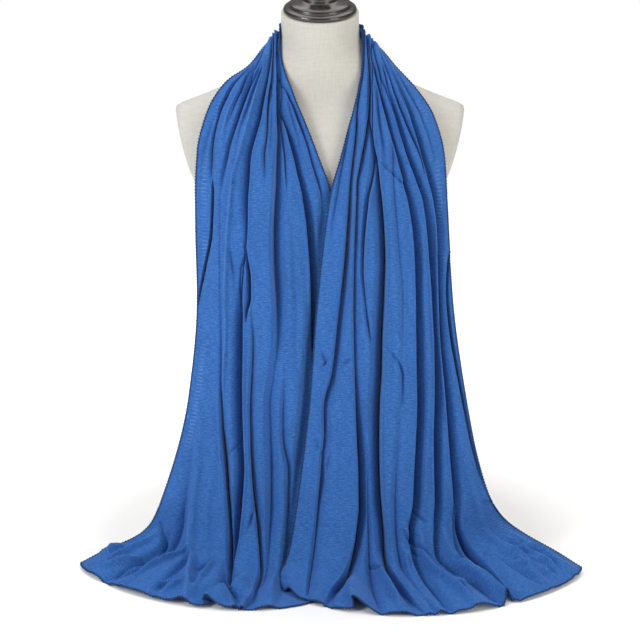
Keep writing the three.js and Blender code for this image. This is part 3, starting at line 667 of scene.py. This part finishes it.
# Seeded bumps on a lattice with the given spacings along and across the cloth
def soft_noise(run, across, long, short, seed):
    rng = np.random.default_rng(seed)
    rows, columns = 64, 128
    table = rng.uniform(-1, 1, (rows, columns))
    u = run / long + 3
    v = across / short + 40
    i, j = np.floor(u).astype(int), np.floor(v).astype(int)
    s, t = smooth_step(u - i, 0, 1), smooth_step(v - j, 0, 1)
    i, j = i % rows, j % columns
    i2, j2 = (i + 1) % rows, (j + 1) % columns
    near = table[i, j] * (1 - t) + table[i, j2] * t
    far = table[i2, j] * (1 - t) + table[i2, j2] * t
    return near * (1 - s) + far * s


def small_waves(half, run, share):
    across = share * half.width(run)
    total = np.zeros(run.shape)
    for i, (height, long, short) in enumerate(WAVES):
        total += height * soft_noise(run, across, long, short, half.seed + i)
    return total * smooth_step(run, WAVES_START, WAVES_FULL)


# How far the rolls at the hem move each point up, along the hem and back
def curl_moves(half, run, share):
    grown = smooth_step(run, CURL_START, LAST_RUN)
    straight = np.linalg.norm(half.inner(run) - half.outer(run), axis=-1)
    lift = np.zeros(np.broadcast(run, share).shape)
    lean = np.zeros_like(lift)
    tuck = np.zeros_like(lift)
    for at, wide, high, leaning, back in half.curls:
        near = grown * np.exp(-(((share - at) * straight / wide) ** 2))
        lift += high * near
        lean += leaning * high * near
        tuck += back * near
    return lift, lean, tuck


# How far points lie in front of the parting line, and the line's way out there
def past_parting(y, z):
    nearest = np.full(y.shape, 1e9)
    ahead = np.zeros(y.shape)
    out = np.zeros((*y.shape, 2))
    for (y1, z1), (y2, z2) in zip(PARTING, PARTING[1:]):
        dy, dz = y2 - y1, z2 - z1
        t = np.clip(((y - y1) * dy + (z - z1) * dz) / (dy**2 + dz**2), 0, 1)
        off_y, off_z = y - y1 - t * dy, z - z1 - t * dz
        away = np.hypot(off_y, off_z)
        length = math.hypot(dy, dz)
        way = (dz / length, -dy / length)
        sign = np.where(off_y * way[0] + off_z * way[1] < 0, -1, 1)
        closer = away < nearest
        nearest = np.where(closer, away, nearest)
        ahead = np.where(closer, sign * away, ahead)
        out[closer] = way
    return ahead, out


def keep_layer(half, other, run, points):
    edge = other.inner(run)[..., 0]
    into = points[..., 0] - edge if half.side > 0 else edge - points[..., 0]
    share = smooth_step(into, -PARTING_BLEND, -2) * (run >= OVERLAP_FROM)
    ahead, out = past_parting(points[..., 1], points[..., 2])
    if half.side > 0:
        kept = np.minimum(ahead, -PARTING_MARGIN)
    else:
        kept = np.maximum(ahead, PARTING_MARGIN)
    move = share * (kept - ahead)
    points[..., 1] += move * out[..., 0]
    points[..., 2] += move * out[..., 1]


def cloth_points(half, run, share):
    run, share = np.broadcast_arrays(np.asarray(run, float), np.asarray(share, float))
    step = 0.01
    here = unfolded(half, run, share)
    across = unit(unfolded(half, run, np.minimum(1, share + step))
                  - unfolded(half, run, np.maximum(0, share - step)))
    along = unfolded(half, run + 2, share) - unfolded(half, run - 2, share)
    out = unit(half.side * np.cross(along, across))
    start, full, end, landed = HANGING
    hanging = smooth_step(run, start, full) * (1 - smooth_step(run, end, landed))
    out = unit(out + STRAIGHT_BACK * hanging[..., None] * np.array([0.0, -1.0, 0.0]))
    sink, slip = fold_sinks(half, run, share)
    sink = sink + ripple_sinks(half, run, share) + crease_sinks(half, run, share)
    sink = sink + small_waves(half, run, share)
    here = here - sink[..., None] * out + slip[..., None] * across
    lift, lean, tuck = curl_moves(half, run, share)
    here = here + lean[..., None] * across + np.stack([0 * tuck, tuck, lift], axis=-1)
    keep_layer(half, right_half if half is left_half else left_half, run, here)
    keep_off_form(here)
    here[..., 2] = np.maximum(here[..., 2], FLOOR_LIFT)
    return here


left_half = Half(1, LEFT_STATIONS, LEFT_FOLDS, LEFT_RIPPLES, LEFT_CREASES, LEFT_CURLS, 11)
right_half = Half(-1, RIGHT_STATIONS, RIGHT_FOLDS, RIGHT_RIPPLES, RIGHT_CREASES, RIGHT_CURLS, 23)


# The camera stands in metres and looks down by some degrees. Its focus is in pixels of the picture.
CAMERA_PLACE = (0, -2.2, 0.85)
CAMERA_DOWN = 13.67
CAMERA_FOCUS = 1630
PICTURE_WIDTH = 640
SENSOR_WIDTH = 36
FLOOR_HALF = 3000
AMBIENT = 0.22
# Each light's name, place and aim in metres, size, power and colour
LIGHTS = [
    ("key", (-1.5, -1.4, 1.35), (0, -0.1, 0.4), (0.7, 0.9), 25, (1, 0.99, 0.97)),
    ("fill", (1.9, -2.0, 1.2), (0, -0.1, 0.35), (1.2, 1.4), 28, (1, 0.93, 0.77)),
    ("top", (0, 0.1, 2.7), (0, 0, 0), (3.4, 3.0), 72, (1, 1, 1)),
]


# A mesh object from points in millimetres and faces
def mesh_object(name, points, faces, material):
    mesh = bpy.data.meshes.new(name)
    mesh.from_pydata((np.asarray(points, float) * MM).tolist(), [], faces)
    mesh.polygons.foreach_set("use_smooth", [True] * len(mesh.polygons))
    mesh.materials.append(material)
    obj = bpy.data.objects.new(name, mesh)
    bpy.context.scene.collection.objects.link(obj)
    return obj


# The four-sided faces of a grid of points, and the corners of each for its texture places
def grid_faces(rows, columns, flip):
    j, k = np.meshgrid(np.arange(rows - 1), np.arange(columns - 1), indexing="ij")
    a = (j * columns + k).ravel()
    corners = np.stack([a, a + columns, a + columns + 1, a + 1], axis=1)
    return corners[:, ::-1] if flip else corners


def grid_object(name, points, flip, runs, normals, material):
    rows, columns = points.shape[:2]
    faces = grid_faces(rows, columns, flip)
    obj = mesh_object(name, points.reshape(-1, 3), faces.tolist(), material)
    for layer_name, middle in (("flat", True), ("edge", False)):
        places = flat_places(points, runs, middle)
        layer = obj.data.uv_layers.new(name=layer_name)
        layer.data.foreach_set("uv", places.reshape(-1, 2)[faces.ravel()].ravel())
    obj.data.normals_split_custom_set_from_vertices(normals.reshape(-1, 3).tolist())
    return obj


# Where each grid point lies on the flat cloth, in metres from its middle or from its outer edge
def flat_places(points, runs, from_middle):
    gaps = np.linalg.norm(np.diff(points, axis=1), axis=-1)
    across = np.concatenate([np.zeros((len(points), 1)), np.cumsum(gaps, axis=1)], axis=1)
    if from_middle:
        across -= across[:, -1:] / 2
    along = np.broadcast_to(np.asarray(runs, float)[:, None], across.shape)
    return np.stack([across, along], axis=-1) * MM


def grid_normals(padded):
    along = padded[2:] - padded[:-2]
    across = np.gradient(padded[1:-1], axis=1)
    return unit(np.cross(along, across))


# The grid's shares in each row, closer together where the folds turn sharply
def grid_shares(half, runs):
    fine = np.linspace(0, 1, FINE_SHARES)
    run, share = np.broadcast_arrays(runs[:, None], fine[None, :])
    squeeze = squeeze_at(half, run)
    density = np.ones(run.shape)
    for fold in half.folds:
        off, depth, _, _ = fold_facts(half, fold, run, share)
        strength = np.clip(depth / CLOSER_DEPTH, 0, 1)
        density += CLOSER * strength * np.exp(-((off / (CLOSER_REACH * squeeze)) ** 2))
    total = np.concatenate([np.zeros((len(runs), 1)), np.cumsum(density[:, 1:], axis=1)], axis=1)
    even = np.linspace(0, 1, FALL_COLUMNS + 1)
    return np.stack([np.interp(even * row[-1], row, fine) for row in total])


# Even runs, and the same with one more at each end, for the normals
def even_runs(start, end, rows):
    runs = np.linspace(start, end, rows + 1)
    step = runs[1] - runs[0]
    return runs, np.concatenate([runs[:1] - step, runs, runs[-1:] + step])


def fall_grid(half):
    runs, padded = even_runs(FALL_FROM, LAST_RUN, FALL_ROWS)
    points = cloth_points(half, padded[:, None], grid_shares(half, padded))
    points[-1] = 2 * points[-2] - points[-3]
    return runs, points


def fall(name, half, material):
    runs, padded = fall_grid(half)
    normals = half.side * grid_normals(padded)
    points = padded[1:-1]
    return grid_object(name, points, half.side < 0, runs, normals, material), points


# The stretch behind the neck, from the left side round the nape to the right side
def nape(name, material):
    runs, padded = even_runs(-FALL_FROM, FALL_FROM, NAPE_ROWS)
    grid = np.concatenate([
        cloth_points(half, part[:, None], grid_shares(half, part))
        for half, part in ((left_half, -padded[padded < 0]), (right_half, padded[padded >= 0]))
    ])
    normals = -grid_normals(grid)
    points = grid[1:-1]
    return grid_object(name, points, True, runs, normals, material), points


# Short names for building a material's nodes
class Nodes:
    def __init__(self, name):
        self.material = bpy.data.materials.new(name)
        self.material.use_nodes = True
        self.tree = self.material.node_tree
        self.shader = self.tree.nodes["Principled BSDF"]

    def add(self, kind, **values):
        node = self.tree.nodes.new(kind)
        for key, value in values.items():
            setattr(node, key, value)
        return node

    def set(self, node, **values):
        for key, value in values.items():
            node.inputs[key.replace("_", " ")].default_value = value
        return node

    def link(self, source, output, target, slot):
        self.tree.links.new(source.outputs[output], target.inputs[slot])

    def stretched(self, coordinate, scale):
        places = self.add("ShaderNodeTexCoord")
        mapping = self.add("ShaderNodeMapping")
        mapping.inputs["Scale"].default_value = scale
        self.link(places, coordinate, mapping, "Vector")
        return mapping

    def noise(self, coordinate, scale, detail=2.0):
        node = self.add("ShaderNodeTexNoise")
        self.set(node, Scale=1.0, Detail=detail)
        self.link(self.stretched(coordinate, scale), "Vector", node, "Vector")
        return node

    def wave(self, coordinate, direction, scale, distortion):
        node = self.add("ShaderNodeTexWave", wave_type="BANDS", bands_direction=direction)
        self.set(node, Scale=scale, Distortion=distortion, Detail=1.0)
        self.link(self.stretched(coordinate, (1, 1, 1)), "Vector", node, "Vector")
        return node

    def ramp(self, source, output, stops):
        node = self.add("ShaderNodeValToRGB")
        while len(node.color_ramp.elements) < len(stops):
            node.color_ramp.elements.new(0.5)
        for element, (place, colour) in zip(node.color_ramp.elements, stops):
            element.position = place
            element.color = (*colour, 1)
        self.link(source, output, node, "Fac")
        return node

    # A mix node has its colours in slots 6 and 7 and its colour result in slot 2
    def result(self, source):
        return 2 if source.bl_idname == "ShaderNodeMix" else 0

    def mix(self, kind, amount, a, b):
        node = self.add("ShaderNodeMix", data_type="RGBA", blend_type=kind)
        node.inputs[0].default_value = amount
        for source, slot in ((a, 6), (b, 7)):
            self.link(source, self.result(source), node, slot)
        return node

    def bump(self, source, strength, distance, under=None):
        node = self.add("ShaderNodeBump")
        self.set(node, Strength=strength, Distance=distance)
        self.link(source, self.result(source), node, "Height")
        if under:
            self.link(under, "Normal", node, "Normal")
        return node


def grey(value):
    return (value, value, value)


# Heathered jersey: fine wales along the cloth, and short darker and lighter yarns across it
def jersey_material():
    n = Nodes("jersey")
    streaks = n.noise("UV", (120, 900, 1), 3)
    colour = n.ramp(streaks, "Fac", [
        (0.28, (0.021, 0.079, 0.271)),
        (0.5, (0.0297, 0.114, 0.366)),
        (0.74, (0.049, 0.158, 0.447)),
    ])
    patches = n.ramp(n.noise("UV", (22, 14, 1), 3), "Fac", [(0.3, grey(0.88)), (0.7, grey(1.0))])
    flecks = n.ramp(n.noise("UV", (300, 850, 1), 2), "Fac", [
        (0.57, (0, 0, 0)),
        (0.72, (0.05, 0.075, 0.11)),
    ])
    flecked = n.mix("ADD", 1, n.mix("MULTIPLY", 1, colour, patches), flecks)
    shaded = n.mix("ADD", 1, flecked, pin_marks(n))
    n.link(shaded, 2, n.shader, "Base Color")
    knit = n.bump(n.wave("UV", "X", 175.0, 0.6), 0.35, 0.00012)
    rows = n.bump(n.noise("UV", (300, 1900, 1), 2), 0.5, 0.00022, knit)
    n.link(rows, "Normal", n.shader, "Normal")
    n.set(n.shader, Roughness=0.86, Sheen_Weight=0.45, Sheen_Roughness=0.45)
    n.shader.inputs["Sheen Tint"].default_value = (0.3, 0.52, 1.0, 1)
    n.shader.inputs["Specular IOR Level"].default_value = 0.04
    return n.material


MARKS_RANGE = 0.05 # the strip along the edge, in metres, that the marks' ramp goes across


# Pale pin marks inside the outer edges
def pin_marks(n):
    places = n.add("ShaderNodeUVMap", uv_map="edge")
    split = n.add("ShaderNodeSeparateXYZ")
    n.link(places, "UV", split, "Vector")
    inside = n.add("ShaderNodeMath", operation="MULTIPLY")
    n.link(split, "X", inside, 0)
    inside.inputs[1].default_value = 1 / MARKS_RANGE
    band = n.ramp(inside, "Value", [
        (0.16, grey(0)),
        (0.2, grey(1)),
        (0.31, grey(1)),
        (0.36, grey(0)),
    ])
    ticks = n.add("ShaderNodeTexWave", wave_type="BANDS", bands_direction="Y")
    n.set(ticks, Scale=64.0, Distortion=1.6, Detail=2.0)
    n.link(places, "UV", ticks, "Vector")
    thin = n.ramp(ticks, "Fac", [(0.62, grey(0)), (0.85, (0.04, 0.052, 0.065))])
    here = n.ramp(n.noise("UV", (2, 11, 1)), "Fac", [(0.42, grey(0)), (0.55, grey(1))])
    return n.mix("MULTIPLY", 1, n.mix("MULTIPLY", 1, thin, band), here)


def thread_material(name, dark, light):
    n = Nodes(name)
    colour = n.ramp(n.noise("Object", (700, 700, 700), 2), "Fac", [(0.35, dark), (0.65, light)])
    n.link(colour, 0, n.shader, "Base Color")
    n.link(n.bump(n.noise("Object", (2600, 2600, 2600)), 0.4, 0.0001), "Normal", n.shader, "Normal")
    n.set(n.shader, Roughness=0.8)
    n.shader.inputs["Specular IOR Level"].default_value = 0.15
    return n.material


def linen_material():
    n = Nodes("linen")
    slubs = n.noise("Object", (60, 60, 520), 3)
    warp = n.noise("Object", (520, 520, 60), 3)
    weave = n.mix("MIX", 0.5, slubs, warp)
    colour = n.ramp(weave, 2, [
        (0.3, (0.42, 0.41, 0.378)),
        (0.5, (0.47, 0.46, 0.43)),
        (0.7, (0.5, 0.49, 0.46)),
    ])
    n.link(colour, 0, n.shader, "Base Color")
    weft = n.bump(n.wave("Object", "Z", 330.0, 1.2), 0.25, 0.0001)
    n.link(n.bump(weave, 0.4, 0.00022, weft), "Normal", n.shader, "Normal")
    n.set(n.shader, Roughness=0.92, Sheen_Weight=0.08)
    return n.material


def wood_material():
    n = Nodes("dark wood")
    rings = n.noise("Object", (45, 45, 260), 4)
    colour = n.ramp(rings, "Fac", [
        (0.3, (0.006, 0.0045, 0.0035)),
        (0.55, (0.02, 0.014, 0.011)),
        (0.75, (0.045, 0.03, 0.022)),
    ])
    n.link(colour, 0, n.shader, "Base Color")
    gloss = n.ramp(n.noise("Object", (90, 90, 500), 3), "Fac", [(0.3, grey(0.22)), (0.8, grey(0.42))])
    n.link(gloss, 0, n.shader, "Roughness")
    n.link(n.bump(rings, 0.15, 0.0003), "Normal", n.shader, "Normal")
    n.set(n.shader, Coat_Weight=0.5, Coat_Roughness=0.16)
    return n.material


# The floor glows more the farther it lies from the part: painted light that brightens it into the white
# backdrop where the lamps light it less
def floor_material():
    n = Nodes("floor")
    colour = n.ramp(n.noise("Object", (3, 3, 3)), "Fac", [(0.3, grey(0.9)), (0.7, grey(0.92))])
    n.link(colour, 0, n.shader, "Base Color")
    n.set(n.shader, Roughness=0.7)
    # painted light: the floor's emission grows with its distance from the part
    away = n.add("ShaderNodeVectorMath", operation="LENGTH")
    n.link(n.stretched("Object", (1, 1, 1)), "Vector", away, "Vector")
    painted_glow = n.add("ShaderNodeMapRange")
    n.set(painted_glow, From_Min=0.3, From_Max=0.8, To_Min=0.0, To_Max=0.9)
    n.link(away, "Value", painted_glow, "Value")
    n.link(painted_glow, "Result", n.shader, "Emission Strength")
    n.shader.inputs["Emission Color"].default_value = (1, 1, 1, 1)
    return n.material


# A round tube of points about a path, in millimetres
def tube(path, radius, sides):
    tangents = unit(np.gradient(path, axis=0))
    helper = np.where(np.abs(tangents[:, 2:3]) < 0.9, [[0.0, 0.0, 1.0]], [[1.0, 0.0, 0.0]])
    first = unit(np.cross(tangents, helper))
    second = np.cross(tangents, first)
    turn = np.arange(sides) / sides * 2 * np.pi
    ring = first[:, None] * np.cos(turn)[:, None] + second[:, None] * np.sin(turn)[:, None]
    return path[:, None] + radius * ring


def tube_faces(rings, sides):
    j, k = np.meshgrid(np.arange(rings - 1), np.arange(sides), indexing="ij")
    a, b = (j * sides + k).ravel(), (j * sides + (k + 1) % sides).ravel()
    return np.stack([a, b, b + sides, a + sides], axis=1).tolist()


def even_path(points, spacing):
    lengths = np.linalg.norm(np.diff(points, axis=0), axis=1)
    total = np.concatenate([[0], np.cumsum(lengths)])
    places = np.linspace(0, total[-1], max(2, int(total[-1] / spacing)))
    return np.stack([np.interp(places, total, points[:, axis]) for axis in range(3)], axis=1)


# The overlocked edge: a thread wound round the cloth's edge, over a thin rolled core
def edge_stitch(name, path, thread_of_edge, core_of_edge):
    core_radius = 0.8
    core_spacing = 3
    wind_radius = 1.2
    thread = 0.5
    pitch = 4.2
    steps = 12
    off_floor = 0.05
    fine = even_path(path, pitch / steps)
    tangents = unit(np.gradient(fine, axis=0))
    first = unit(np.cross(tangents, [[0.0, 0.0, 1.0]]) + 1e-6)
    second = np.cross(tangents, first)
    turn = (np.arange(len(fine)) / steps * 2 * np.pi)[:, None]
    wound = fine + wind_radius * (first * np.cos(turn) + second * np.sin(turn))
    wound[:, 2] = np.maximum(wound[:, 2], thread + off_floor)
    core_path = even_path(path, core_spacing)
    core_path[:, 2] = np.maximum(core_path[:, 2], core_radius + off_floor)
    points, faces, parts = [], [], []
    for part, (line, radius, sides) in enumerate(((wound, thread, 4), (core_path, core_radius, 6))):
        ring = tube(line, radius, sides).reshape(-1, 3)
        start = sum(len(p) for p in points)
        faces += [[start + i for i in face] for face in tube_faces(len(line), sides)]
        parts += [part] * (len(faces) - len(parts))
        points.append(ring)
    obj = mesh_object(name, np.concatenate(points), faces, thread_of_edge)
    obj.data.materials.append(core_of_edge)
    obj.data.polygons.foreach_set("material_index", parts)
    return obj


def fall_edge(grid):
    return np.concatenate([grid[:, 0], grid[-1, 1:-1], grid[::-1, -1]])


# A closed skin through rings of points that all go round the same way
def skin_object(name, rings, material):
    count = rings.shape[1]
    points = [*rings.reshape(-1, 3), rings[0].mean(axis=0), rings[-1].mean(axis=0)]
    faces = tube_faces(len(rings), count)
    bottom, top = len(points) - 2, len(points) - 1
    last = (len(rings) - 1) * count
    for k in range(count):
        faces.append([(k + 1) % count, k, bottom])
        faces.append([last + k, last + (k + 1) % count, top])
    return mesh_object(name, points, faces, material)


def full_turn(sides):
    return np.linspace(0, 2 * np.pi, sides, endpoint=False)[None, :]


def torso(material):
    levels = np.unique(np.concatenate([np.linspace(0, NECK_TOP, FORM_LEVELS), form_knots]))
    return skin_object("dress_form", form_point(full_turn(FORM_SIDES), levels[:, None]), material)


def form_out(angle, z):
    step = 0.01
    ring = form_point(angle + step, z) - form_point(angle - step, z)
    up = form_point(angle, z + 1) - form_point(angle, z - 1)
    return unit(np.cross(ring, up))


# The padded oval that closes the form where an arm would start
def arm_cap(name, middle, material):
    turn = full_turn(ARM_CAP_SIDES)
    shares = np.array([0.1, 0.3, 0.5, 0.7, 0.85, 0.95, 0.99, 1.0])
    rolled_off = np.array([0, 0, 0, 0, 0, 0.1, 0.5, 1.2])
    top = ARM_CAP["gap"] + ARM_CAP["edge"] + ARM_CAP["dome"] * (1 - shares**2)
    rolled = top - rolled_off
    hoops = []
    for share, lift in [*((s, ARM_CAP["gap"]) for s in shares), *zip(shares[::-1], rolled[::-1])]:
        angle = middle + share * ARM_CAP["half_angle"] * np.cos(turn)
        z = ARM_CAP["z"] + share * ARM_CAP["tall"] * np.sin(turn)
        hoops.append((form_point(angle, z) + lift * form_out(angle, z))[0])
    return skin_object(name, np.array(hoops), material)


# Each corner of the profile is cut into a small round
def rounded(profile, times):
    points = np.asarray(profile, float)
    for _ in range(times):
        cut = 0.22
        starts = points[:-1] + cut * (points[1:] - points[:-1])
        ends = points[1:] - cut * (points[1:] - points[:-1])
        middle = np.stack([starts, ends], axis=1).reshape(-1, 2)
        points = np.concatenate([points[:1], middle, points[-1:]])
    return points


def neck_cap(material):
    profile = rounded(CAP_PROFILE, 2)[1:-1]
    turn = full_turn(FINIAL_SIDES)
    radius, height = profile[:, 0:1], profile[:, 1:2]
    x = radius * np.cos(turn)
    y = radius * np.sin(turn)
    z = np.broadcast_to(height, x.shape)
    angle = math.atan(NECK_TILT)
    rings = np.stack([
        x,
        CAP_BACK + y * math.cos(angle) - z * math.sin(angle),
        NECK_TOP + NECK_TILT + y * math.sin(angle) + z * math.cos(angle),
    ], axis=-1)
    return skin_object("neck_finial", rings, material)


def area_light(name, place, aim, size, power, colour):
    data = bpy.data.lights.new(name, "AREA")
    data.shape = "RECTANGLE"
    data.size, data.size_y = size
    data.energy = power
    data.color = colour
    light = bpy.data.objects.new(name, data)
    bpy.context.scene.collection.objects.link(light)
    light.location = place
    way = np.array(aim) - np.array(place)
    light.rotation_euler = (
        math.atan2(math.hypot(way[0], way[1]), -way[2]),
        0,
        math.atan2(way[0], -way[1]) + math.pi,
    )


# The backdrop is white to look at, and lights the part less than it shows
def studio():
    world = bpy.data.worlds.new("studio")
    bpy.context.scene.world = world
    world.use_nodes = True
    tree = world.node_tree
    background = tree.nodes["Background"]
    background.inputs["Color"].default_value = (1.0, 1.0, 1.0, 1)
    background.inputs["Strength"].default_value = AMBIENT
    backdrop = tree.nodes.new("ShaderNodeBackground")
    backdrop.inputs["Color"].default_value = (1.0, 1.0, 1.0, 1)
    choice = tree.nodes.new("ShaderNodeMixShader")
    seen = tree.nodes.new("ShaderNodeLightPath")
    tree.links.new(seen.outputs["Is Camera Ray"], choice.inputs[0])
    tree.links.new(background.outputs[0], choice.inputs[1])
    tree.links.new(backdrop.outputs[0], choice.inputs[2])
    tree.links.new(choice.outputs[0], tree.nodes["World Output"].inputs[0])
    bpy.context.scene.view_settings.view_transform = "Standard"
    for light in LIGHTS:
        area_light(*light)


def floor(material):
    reach = FLOOR_HALF
    points = [(-reach, -reach, 0), (reach, -reach, 0), (reach, reach, 0), (-reach, reach, 0)]
    obj = mesh_object("floor", points, [(0, 1, 2, 3)], material)
    return obj


def camera():
    data = bpy.data.cameras.new("camera")
    data.sensor_width = SENSOR_WIDTH
    data.lens = SENSOR_WIDTH * CAMERA_FOCUS / PICTURE_WIDTH
    data.clip_start = 0.05
    obj = bpy.data.objects.new("camera", data)
    bpy.context.scene.collection.objects.link(obj)
    obj.location = CAMERA_PLACE
    obj.rotation_euler = (math.radians(90 - CAMERA_DOWN), 0, 0)
    bpy.context.scene.camera = obj


def ride(obj, slot, *nodes):
    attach(obj, "root")
    if nodes:
        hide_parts(*nodes)


camera()
studio()
floor(floor_material())
jersey = jersey_material()
# The edge thread's dark navy is its own colour. The core is much darker than the jersey it is rolled
# from: painted shade inside the overlocked edge.
thread = thread_material("edge thread", (0.022, 0.055, 0.17), (0.045, 0.1, 0.28))
core = thread_material("edge core", (0.008, 0.022, 0.075), (0.014, 0.04, 0.12))
linen = linen_material()
wood = wood_material()

ride(torso(linen), "linen", "form_torso")
ride(arm_cap("arm_cap_right", 0, linen), "linen", "form_arm_cap_right")
ride(arm_cap("arm_cap_left", math.pi, linen), "linen", "form_arm_cap_left")
ride(neck_cap(wood), "dark_wood", "form_neck_cap")

nape_cloth, nape_grid = nape("scarf_nape_cloth", jersey)
left_cloth, left_grid = fall("scarf_left_cloth", left_half, jersey)
right_cloth, right_grid = fall("scarf_right_cloth", right_half, jersey)
ride(nape_cloth, "jersey", "scarf_nape")
ride(left_cloth, "jersey", "scarf_left_fall")
ride(right_cloth, "jersey", "scarf_right_fall")
left_edge = edge_stitch("scarf_left_edge", fall_edge(left_grid), thread, core)
right_edge = edge_stitch("scarf_right_edge", fall_edge(right_grid), thread, core)
nape_lower_edge = edge_stitch("scarf_nape_lower_edge", nape_grid[:, 0], thread, core)
nape_upper_edge = edge_stitch("scarf_nape_upper_edge", nape_grid[:, -1], thread, core)
for edge in (left_edge, right_edge, nape_lower_edge, nape_upper_edge):
    ride(edge, "jersey")
